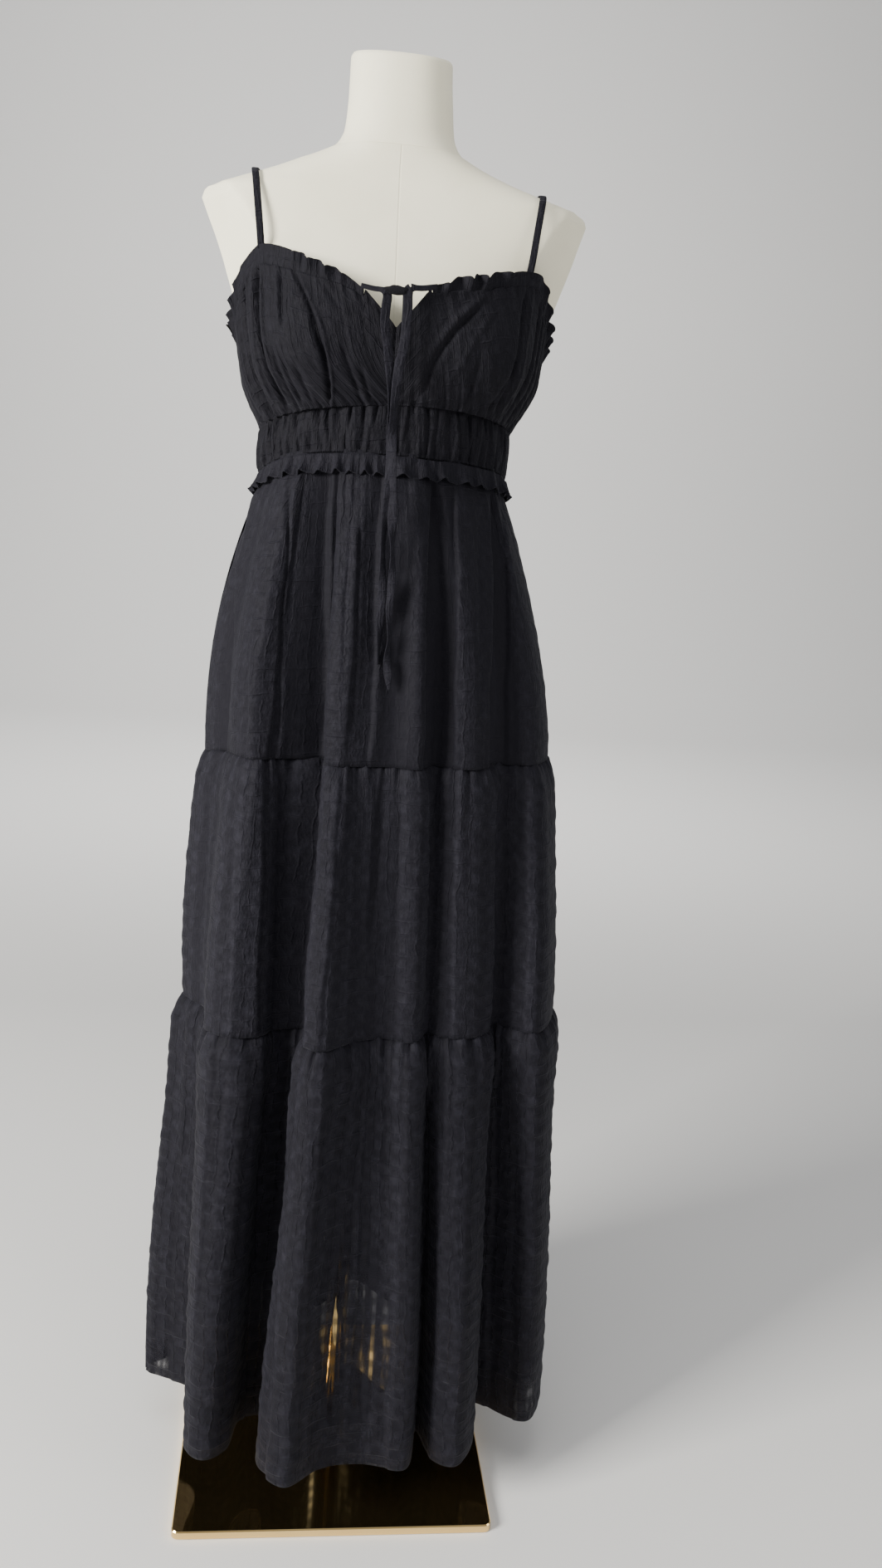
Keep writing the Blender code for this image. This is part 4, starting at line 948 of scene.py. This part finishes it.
def waist_ruffle(name, node, start, end, waves, seed):
    """Ruffle over the top of tier 1: a wave that grows to the free edge, pinched into points."""
    columns, rows = 340, 12
    fine = np.linspace(start, end, 600)
    waist = through(plain_waist[0], fine)
    length = np.concatenate([[0], np.cumsum(np.linalg.norm(np.diff(waist, axis=0), axis=1))])
    at = np.interp(np.linspace(0.0004, length[-1] - 0.0004, columns + 1), length, fine)
    share = np.linspace(0.0, 1.0, rows + 1)
    points, out, drop = tier_surface(plain_waist, 1, at,
                                     share * RUFFLE_HEIGHT / (BAND_BOTTOM[0] - SEAM_1))
    across = cloth_across(points)
    uneven = np.random.default_rng(seed)
    knots = np.cumsum(uneven.uniform(0.55, 1.45, waves))
    knots = np.concatenate([[0], knots]) / knots[-1] * across[0, -1]
    phase = np.interp(across[0], knots, np.arange(waves + 1)) * 2 * np.pi
    size = np.interp(across[0], knots, uneven.uniform(0.55, 1.2, waves + 1))
    wave = size * (np.cos(phase) + 0.30 * np.cos(2 * phase + 0.8))
    grow = (0.15 + 0.85 * share)[:, None]
    move = 0.0016 + 0.0044 * share[:, None] + 0.0028 * wave * grow
    move = move + gathers(across, drop, 0.0060, 0.0009, 0.010, seed + 1)
    roll = 0.0007 * bell((1 - share) * 0.020, 0.0012)[:, None]
    points = points + out * (move + roll)[..., None]
    points[..., 2] -= 0.0004 - 0.0022 * wave * share[:, None] ** 2
    cut = np.stack([np.broadcast_to(across[-1:] * RUFFLE_FULL, across.shape), drop], axis=-1)
    piece = cloth_wall(name, points, out, cut, ruffle_look, 0.0010)
    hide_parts(node)


waist_ruffle("waist_frill_front", "waist_ruffle_front", 0, front_end, 19, 81)
waist_ruffle("waist_frill_back", "waist_ruffle_back", front_end, all_turns, 16, 85)


# Bodice
# Two front cups and a low back, each one layer of the same cloth gathered into the waistband and
# into its top seam. The cups meet at the middle below a narrow notch with a plain turned edge.

# height above the band's top seam, half width, depth in front, depth behind
BODICE_SECTIONS = np.array([
    (-0.010, 0.1262, 0.0950, 0.0880),
    (0.000, 0.1275, 0.0965, 0.0890),
    (0.018, 0.1365, 0.1035, 0.0940),
    (0.040, 0.1460, 0.1090, 0.0980),
    (0.070, 0.1515, 0.1110, 0.1000),
    (0.100, 0.1560, 0.1110, 0.1010),
    (0.135, 0.1590, 0.1130, 0.1010),
    (0.170, 0.1590, 0.1110, 0.1000),
])
BODICE_CENTRE, DRESS_BUST = -0.0068, 0.017
RIGHT_SIDE = 0.0050                     # how much fuller the right side hangs
# bearing in degrees from the front, height of the top edge, height of the ruffle that ends there
TOP_EDGE = np.array([
    (-180.0, 1.250, 0.013), (-130.0, 1.251, 0.013), (-105.0, 1.257, 0.013), (-90.0, 1.270, 0.014),
    (-76.0, 1.298, 0.016), (-66.0, 1.317, 0.017), (-53.0, 1.333, 0.018), (-40.0, 1.327, 0.017),
    (-30.0, 1.318, 0.014), (-20.0, 1.308, 0.010), (-12.0, 1.296, 0.006), (12.0, 1.304, 0.007),
    (20.0, 1.313, 0.011), (30.0, 1.319, 0.013), (42.0, 1.327, 0.013), (57.0, 1.331, 0.013),
    (68.0, 1.316, 0.013), (78.0, 1.294, 0.013), (90.0, 1.270, 0.014), (105.0, 1.257, 0.013),
    (130.0, 1.251, 0.013), (180.0, 1.250, 0.013),
])
V_BEARING, V_HEIGHT, V_HALF = -0.9, 1.264, 11.5
# bearings at the top seam, half way and at the band, where it starts and ends as shares of the
# height, half width in degrees, depth in millimetres (minus is a ridge)
CUP_CREASES = [
    (-78.0, -76.0, -71.0, 0.02, 0.95, 1.6, 2.6),
    (-72.5, -71.0, -66.5, 0.00, 1.00, 1.0, -1.6),
    (-67.0, -65.5, -61.5, 0.00, 1.00, 1.9, 5.0),
    (-59.0, -57.0, -55.0, 0.02, 1.00, 0.8, -1.8),
    (-56.0, -53.5, -49.0, 0.00, 0.98, 1.1, 4.4),
    (-53.0, -49.5, -46.0, 0.02, 0.95, 0.9, -1.8),
    (-50.0, -46.5, -42.5, 0.55, 1.00, 0.9, 2.4),
    (-46.0, -43.0, -39.0, 0.62, 1.00, 0.9, 2.0),
    (-45.0, -41.5, -39.5, 0.00, 0.42, 0.7, -2.0),
    (-43.0, -40.0, -38.5, 0.00, 0.44, 0.8, 1.6),
    (-40.0, -38.0, -34.0, 0.66, 1.00, 1.0, 1.8),
    (-36.0, -25.0, -26.0, 0.02, 1.00, 0.6, -1.8),
    (-37.4, -26.4, -27.2, 0.02, 1.00, 1.1, 3.2),
    (-36.0, -27.5, -20.0, 0.32, 0.64, 0.9, 2.0),
    (-27.0, -12.0, 3.0, 0.02, 0.20, 1.2, 1.4),
    (-25.0, -19.5, -12.5, 0.48, 1.00, 1.1, 1.8),
    (-21.0, -15.0, -9.0, 0.60, 1.00, 1.0, 1.4),
    (31.0, 12.5, 10.0, 0.03, 0.88, 2.0, -1.6),
    (35.0, 16.0, 12.8, 0.12, 0.95, 1.5, 2.0),
    (38.0, 25.0, 20.0, 0.20, 0.80, 1.6, -0.9),
    (50.0, 46.5, 49.0, 0.02, 0.95, 1.2, 2.6),
    (54.0, 51.0, 53.0, 0.04, 0.95, 1.0, -1.2),
    (62.5, 60.0, 58.0, 0.02, 0.95, 1.5, 3.0),
    (68.0, 66.0, 66.0, 0.02, 1.00, 1.3, 3.2),
    (74.0, 73.0, 75.0, 0.05, 1.00, 1.5, 2.8),
    (80.0, 80.0, 82.0, 0.05, 1.00, 1.5, 2.4),
    (52.0, 47.0, 43.0, 0.55, 1.00, 1.2, 1.6),
    (24.0, 29.0, 30.0, 0.55, 1.00, 1.3, 1.6),
    (118.0, 120.0, 122.0, 0.00, 1.00, 2.4, 2.0),
    (140.0, 139.0, 137.0, 0.00, 1.00, 2.2, 1.6),
    (163.0, 164.0, 166.0, 0.00, 1.00, 2.6, 2.0),
    (-172.0, -171.0, -170.0, 0.00, 1.00, 2.2, 1.6),
    (-150.0, -149.0, -147.0, 0.00, 1.00, 2.4, 2.0),
    (-124.0, -122.0, -119.0, 0.00, 1.00, 2.2, 1.6),
]

CREASE_DEPTH = 1.4                      # times the depths above
BODICE_FULL = 1.3                       # cut width for each width of the finished bodice
cup_look = dress_cloth("crinkle_cloth_bodice", 0.10, tone=0.80)


def top_edge(bearing):
    """Height of the dress's top edge, and the ruffle's height there, with the notch in front."""
    degrees = np.degrees(bearing)
    edge, ruffle = np.moveaxis(rows_at(TOP_EDGE, degrees), -1, 0)
    into = np.clip(1 - np.abs(degrees - V_BEARING) / V_HALF, 0, 1)
    edge = edge - (edge - V_HEIGHT) * into
    return edge, np.where(into > 0, 0.0, ruffle)


def bodice_surface(bearing, height):
    """Ovals that widen above the band, with the bust's two swellings, and the level way out."""
    above = height - seam_height(BAND_TOP, bearing)
    half, front, back = np.moveaxis(rows_at(BODICE_SECTIONS, above), -1, 0)
    point, out = oval(bearing, BODICE_CENTRE, half, front, back)
    point = point + out * bust(bearing, height, DRESS_BUST)[..., None]
    side = ((np.degrees(bearing) - 88.0) / 26.0) ** 2 + ((above - 0.040) / 0.052) ** 2
    point = point + out * (RIGHT_SIDE * np.exp(-side))[..., None]
    return (np.concatenate([point, height[..., None]], axis=-1),
            np.concatenate([out, np.zeros((*height.shape, 1))], axis=-1))


def cup_folds(bearing, share):
    """Long creases: each is a bell in bearing about a line that bends once, soft at its ends."""
    degrees = np.degrees(bearing)
    move = np.zeros_like(share)
    fall = 1 - share
    for top, half_way, foot, start, stop, wide, deep in CUP_CREASES:
        line = (top * (1 - fall) * (1 - 2 * fall) + 4 * half_way * fall * (1 - fall)
                + foot * fall * (2 * fall - 1))
        ends = (np.clip((fall - start) / 0.12 + 0.2, 0, 1)
                * np.clip((stop - fall) / 0.12 + 0.2, 0, 1))
        move -= CREASE_DEPTH * deep * MM * bell(degrees - line, wide) * ends
    return move


def turned_back(bearing):
    """The same bearings, brought between minus and plus half a turn."""
    return np.where(bearing > np.pi, bearing - 2 * np.pi, bearing)


def bodice_panel(name, node, degrees, rows, seed):
    """A cup or the back: gathers at the band and at the top seam, and its long creases."""
    bearing = np.radians(degrees)
    folded = turned_back(bearing)
    low = seam_height(BAND_TOP, bearing) - 0.0030
    edge, ruffle = top_edge(folded)
    high = edge - ruffle - 0.0002
    share = np.linspace(1.0, 0.0, rows + 1)[:, None]
    height = low + (high - low) * share
    points, out = bodice_surface(np.broadcast_to(folded, height.shape), height)
    across = cloth_across(points)
    from_top, from_foot = high - height, np.maximum(height - low - 0.0030, 0.0)
    move = gathers(across, from_foot, 0.0066, 0.0018, 0.017, seed)
    move += gathers(across, from_foot, 0.0150, 0.0016, 0.045, seed + 3)
    sewn = ruffle > 0
    move += gathers(across, from_top, 0.0080, 0.0012, 0.012, seed + 1) * sewn
    move += cup_folds(np.broadcast_to(folded, height.shape), np.broadcast_to(share, height.shape))
    move += seersucker(across, from_top, (0.013, 0.0145), 0.0005, seed + 2)
    move -= tuck(height - low, 0.0048, 0.0028, 0.0019)
    move += 0.0006 * bell(from_top - 0.0012, 0.0009)
    degrees = np.degrees(folded)
    move *= np.clip((np.abs(degrees - V_BEARING) - 0.2) / 1.5, 0.0, 1.0)
    move *= np.clip(np.abs(np.abs(degrees) - 90.0) / 1.5, 0.0, 1.0)
    if name == "cup_left":
        move -= tuck(V_BEARING - degrees, 1.6, 1.4, 0.0016)
    points = points + out * move[..., None]
    cut = np.stack([across * BODICE_FULL, from_top], axis=-1)
    piece = cloth_wall(name, points, out, cut, cup_look)
    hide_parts(node)


left_cup = np.concatenate([np.linspace(-90 + side_gap, V_BEARING - V_HALF, 190)[:-1],
                           np.linspace(V_BEARING - V_HALF, V_BEARING + 1.1, 28)])
right_cup = np.concatenate([np.linspace(V_BEARING + side_gap, V_BEARING + V_HALF, 26)[:-1],
                            np.linspace(V_BEARING + V_HALF, 90 - side_gap, 190)])
back_panel = np.linspace(90 + side_gap, 270 - side_gap, 200)
bodice_panel("cup_left", "bodice_front_left", left_cup, 70, 91)
bodice_panel("cup_right", "bodice_front_right", right_cup, 70, 94)
bodice_panel("back_panel", "bodice_back", back_panel, 36, 97)


# Heading ruffles
# The cloth above the top seam stands up as a narrow ruffle with a rolled edge: nearly smooth at
# the left strap, scalloped toward the notch, at the right cup and at the underarms.

heading_look = dress_cloth("crinkle_cloth_heading", 0.06, tone=0.85)
# bearing, how strongly the ruffle waves there
HEADING_WAVES = np.array([
    (-180.0, 1.0), (-100.0, 1.3), (-84.0, 1.5), (-76.0, 1.1), (-66.0, 0.15), (-42.0, 0.20),
    (-33.0, 1.1), (-25.0, 1.2), (-12.0, 0.3), (12.0, 0.7), (22.0, 1.4), (36.0, 1.4), (44.0, 0.5),
    (58.0, 0.3), (66.0, 0.9), (84.0, 1.4), (100.0, 1.1), (180.0, 1.0),
])


def heading(name, node, start, end, waves, seed):
    """Ruffle above the top seam: uneven waves that grow to the free edge, out and up.

    waves is how many there are, or the bearings in degrees between which each one runs.
    """
    columns, rows = 300, 12
    bearing = np.radians(np.linspace(start, end, columns + 1))
    folded = turned_back(bearing)
    edge, tall = top_edge(folded)
    share = np.linspace(0.0, 1.0, rows + 1)[:, None]
    low = edge - tall - 0.0028
    uneven = np.random.default_rng(seed)
    placed = np.ndim(waves) > 0
    knots = np.cumsum(uneven.uniform(0.5, 1.5, len(waves) - 1 if placed else waves))
    knots = start + (end - start) * np.concatenate([[0], knots]) / knots[-1]
    knots = np.array(waves) if placed else knots
    at = np.degrees(bearing)
    phase = np.interp(at, knots, np.arange(len(knots))) * 2 * np.pi
    strong = rows_at(HEADING_WAVES, np.degrees(folded))[..., 0]
    strong = strong * np.interp(at, knots, uneven.uniform(0.6, 1.2, len(knots)))
    wave = strong * (np.cos(phase) + 0.25 * np.cos(2 * phase + 1.1))
    lift = 1.6 * np.abs(np.sin(phase / 2)) ** 0.7 - 1.0 + 0.15 * np.sin(2 * phase + seed)
    height = low + (edge - low) * share + 0.0022 * strong * lift * share ** 2
    points, out = bodice_surface(np.broadcast_to(folded, height.shape), height)
    across = cloth_across(points)
    side = bell(np.abs(np.degrees(folded)) - 84.0, 16.0)
    move = (0.0016 + 0.0016 * side) * share + 0.0030 * wave * (0.08 + 0.92 * share)
    move = move + gathers(across, height - low, 0.0065, 0.0005, 0.006, seed + 1)
    move = move + 0.0005 * bell((1 - share) * 0.014, 0.0010)
    move = move - 0.0018 * bell(height - low, 0.0018)
    points = points + out * move[..., None]
    cut = np.stack([np.broadcast_to(across[:1] * RUFFLE_FULL, across.shape), height - low],
                   axis=-1)
    piece = cloth_wall(name, points, out, cut, heading_look, 0.0008)
    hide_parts(node)


heading("heading_left", "neck_ruffle_left", -90 + side_gap, V_BEARING - V_HALF,
        (-90.0, -85.5, -80.0, -74.0, -66.0, -52.0, -38.0, -32.0, -25.5, -20.0, -12.4), 101)
heading("heading_right", "neck_ruffle_right", V_BEARING + V_HALF, 90 - side_gap,
        (10.6, 16.0, 24.0, 29.5, 40.5, 57.0, 66.0, 74.0, 80.0, 84.5, 90.0), 104)
heading("heading_back", "neck_ruffle_back", 90 + side_gap, 270 - side_gap, 18, 107)


# Straps
# Two narrow flat tubes of the same cloth, turned out and pressed, sewn inside the top seam in
# front and behind.

STRAP_WIDTH, STRAP_THICKNESS = 0.0068, 0.0014
# points of each strap's middle line, from its front end over the shoulder to the back
STRAP_ROUTE = {
    "left": [(-0.1374, -0.0668, 1.3290), (-0.1390, -0.0680, 1.3440), (-0.1418, -0.0610, 1.3660),
             (-0.1456, -0.0462, 1.3942), (-0.1475, -0.0300, 1.4062), (-0.1472, -0.0106, 1.4102),
             (-0.1457, 0.0092, 1.4110), (-0.1437, 0.0278, 1.4092), (-0.1360, 0.0580, 1.3958),
             (-0.1302, 0.0745, 1.3760), (-0.1230, 0.0830, 1.3500), (-0.1080, 0.0880, 1.3000),
             (-0.0935, 0.0895, 1.2475)],
    "right": [(0.1180, -0.0718, 1.3265), (0.1200, -0.0728, 1.3430), (0.1240, -0.0614, 1.3680),
              (0.1292, -0.0447, 1.3972), (0.1318, -0.0292, 1.4084), (0.1322, -0.0107, 1.4116),
              (0.1318, 0.0090, 1.4120), (0.1302, 0.0276, 1.4100), (0.1212, 0.0574, 1.3966),
              (0.1140, 0.0737, 1.3772), (0.1060, 0.0818, 1.3500), (0.0910, 0.0875, 1.3000),
              (0.0780, 0.0930, 1.2515)],
}


def smooth_route(route, count):
    """Points evenly spaced along a smooth curve through a route's points."""
    route = np.array(route)
    before, after = 2 * route[0] - route[1], 2 * route[-1] - route[-2]
    p = np.vstack([before, route, after])
    at = np.linspace(0, len(route) - 1.000001, 900)
    i = np.floor(at).astype(int)
    u = (at - i)[:, None]
    p0, p1, p2, p3 = p[i], p[i + 1], p[i + 2], p[i + 3]
    fine = 0.5 * (2 * p1 + (p2 - p0) * u + (2 * p0 - 5 * p1 + 4 * p2 - p3) * u ** 2
                  + (3 * p1 - p0 - 3 * p2 + p3) * u ** 3)
    length = np.concatenate([[0], np.cumsum(np.linalg.norm(np.diff(fine, axis=0), axis=1))])
    even = np.linspace(0, length[-1], count)
    return np.stack([np.interp(even, length, fine[:, k]) for k in range(3)], axis=1), length[-1]


def ribbon(name, path, across, width, thickness, look):
    """Flat tube along a path: at each point an oval of the given width and thickness.

    width and thickness may change along the path; the ends are closed.
    """
    along = np.gradient(path, axis=0)
    along /= np.linalg.norm(along, axis=1, keepdims=True)
    across = across - np.sum(across * along, axis=1, keepdims=True) * along
    across /= np.linalg.norm(across, axis=1, keepdims=True)
    out = np.cross(along, across)
    turn = np.linspace(0, 2 * np.pi, 16, endpoint=False)
    c = np.sign(np.cos(turn)) * np.abs(np.cos(turn)) ** 0.6
    s = np.sign(np.sin(turn)) * np.abs(np.sin(turn)) ** 0.8
    width = np.broadcast_to(width, len(path))[:, None, None]
    thickness = np.broadcast_to(thickness, len(path))[:, None, None]
    rings = (path[:, None] + across[:, None] * c[:, None] * width / 2
             + out[:, None] * s[:, None] * thickness / 2)
    thing = ring_solid(name, rings, look)
    length = cloth_across(path[None])[0]
    place = np.stack([np.broadcast_to((c + 1) * 0.0035, rings.shape[:2]),
                      np.broadcast_to(length[:, None], rings.shape[:2])], axis=-1).reshape(-1, 2)
    corners = np.empty(len(thing.data.loops), dtype=np.int32)
    thing.data.loops.foreach_get("vertex_index", corners)
    layer = thing.data.uv_layers.new(name="cut")
    layer.data.foreach_set("uv", place[corners].reshape(-1))
    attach(thing, "root")
    return thing


strap_look = dress_cloth("crinkle_cloth_strap", 0.0, tone=1.1)
for side, route in STRAP_ROUTE.items():
    path, _ = smooth_route(route, 120)
    along = np.gradient(path, axis=0)
    across = np.cross(along, np.cross(np.array([1.0, 0.0, 0.0]), along))
    strap = ribbon(f"shoulder_strap_{side}", path, across, STRAP_WIDTH, STRAP_THICKNESS, strap_look)
    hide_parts(f"strap_{side}")


# Neck tie
# A narrow flat tube of cloth runs in each top seam, comes out beside the notch, and crosses the
# other in a small knot. Both free ends hang down the front, twisting as they fall.

TIE_WIDTH, TIE_THICKNESS = 0.0080, 0.0016
# from the cup's edge to the knot, then down to the free end
TIE_LEFT = [
    (-0.0440, -0.1200, 1.2965), (-0.0330, -0.1225, 1.2945), (-0.0240, -0.1242, 1.2935),
    (-0.0198, -0.1250, 1.2895), (-0.0204, -0.1256, 1.2790), (-0.0205, -0.1260, 1.2640),
    (-0.0165, -0.1258, 1.2440), (-0.0125, -0.1250, 1.2150), (-0.0105, -0.1240, 1.1890),
    (-0.0088, -0.1228, 1.1550), (-0.0080, -0.1222, 1.1190), (-0.0085, -0.1200, 1.1000),
    (-0.0092, -0.1170, 1.0700), (-0.0075, -0.1160, 1.0280), (-0.0072, -0.1158, 0.9990),
    (-0.0070, -0.1158, 0.9510),
]
TIE_RIGHT = [
    (0.0260, -0.1195, 1.3015), (0.0120, -0.1230, 1.2985), (0.0015, -0.1244, 1.2975),
    (-0.0012, -0.1252, 1.2925), (-0.0008, -0.1258, 1.2760), (-0.0014, -0.1263, 1.2500),
    (-0.0056, -0.1266, 1.2250), (-0.0078, -0.1262, 1.1800), (-0.0062, -0.1250, 1.1400),
    (-0.0030, -0.1218, 1.1000), (0.0012, -0.1180, 1.0430), (0.0008, -0.1172, 1.0100),
    (0.0022, -0.1168, 0.9790), (0.0016, -0.1166, 0.9560), (0.0056, -0.1164, 0.9260),
]
# share of the length, turn of the flat side from facing the front, in degrees, share of full width
TIE_TWIST = {
    "left": np.array([(0.0, 80.0, 0.55), (0.05, 75.0, 0.6), (0.07, 12.0, 1.1), (0.22, 8.0, 1.1),
                      (0.34, 50.0, 0.9), (0.46, -20.0, 0.9), (0.58, 10.0, 1.0), (0.70, 50.0, 0.9),
                      (0.84, -15.0, 1.0), (0.94, 50.0, 0.9), (1.0, 80.0, 0.8)]),
    "right": np.array([(0.0, 80.0, 0.65), (0.05, 75.0, 0.65), (0.07, 0.0, 1.15), (0.24, -8.0, 1.15),
                       (0.36, 30.0, 1.0), (0.44, -34.0, 1.3), (0.56, -30.0, 1.3), (0.66, 50.0, 0.8),
                       (0.76, -24.0, 1.0), (0.88, 60.0, 0.8), (0.96, -20.0, 1.0), (1.0, 0.0, 0.3)]),
}
KNOT_CENTRE = np.array([-0.0120, -0.1247, 1.2945])

# Painted highlight: the tie and its knot use the dress's cloth painted lighter, tone 1.2, so that
# they read as lit.
painted_highlight_tie_look = dress_cloth("crinkle_cloth_tie_painted_highlight", 0.0, tone=1.2)


def tie(name, route, twist, nodes):
    """Ribbon along a tie's route, turned and narrowed by its twist; level runs stand on edge."""
    path, length = smooth_route(route, 260)
    share = np.linspace(0, 1, len(path))
    angle, wide = np.moveaxis(rows_at(twist, share), -1, 0)
    across = np.stack([np.cos(np.radians(angle)), np.sin(np.radians(angle)), 0 * angle], axis=1)
    along = np.gradient(path, axis=0)
    level_run = np.abs(along[:, 2]) < 0.5 * np.linalg.norm(along, axis=1)
    across[level_run] = (0.0, 0.0, 1.0)
    thing = ribbon(name, path, across, TIE_WIDTH * wide, TIE_THICKNESS, painted_highlight_tie_look)
    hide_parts(*nodes)
    return thing, path, length


knot_turn, knot_rise = np.meshgrid(np.linspace(0, 2 * np.pi, 48, endpoint=False),
                                   np.radians(np.linspace(-88, 88, 30)))
wraps = 1 + 0.10 * np.sin(5 * knot_rise + 2 * knot_turn)
knot_rings = KNOT_CENTRE + np.stack([
    0.0112 * wraps * np.cos(knot_turn) * np.cos(knot_rise),
    0.0038 * wraps * np.sin(knot_turn) * np.cos(knot_rise),
    0.0040 * wraps * np.sin(knot_rise)], axis=-1)
tie_knot = ring_solid("neck_knot", knot_rings, painted_highlight_tie_look, FORM_SHARP)
tie_knot.data.uv_layers.new(name="cut")
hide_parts("tie_knot")
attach(tie_knot, "root")

tie_left, path, length = tie("neck_tie_long_left", TIE_LEFT, TIE_TWIST["left"],
                             ("neck_tie_left", "tie_end_left"))
tie_right, path, length = tie("neck_tie_long_right", TIE_RIGHT, TIE_TWIST["right"],
                              ("neck_tie_right", "tie_end_right"))
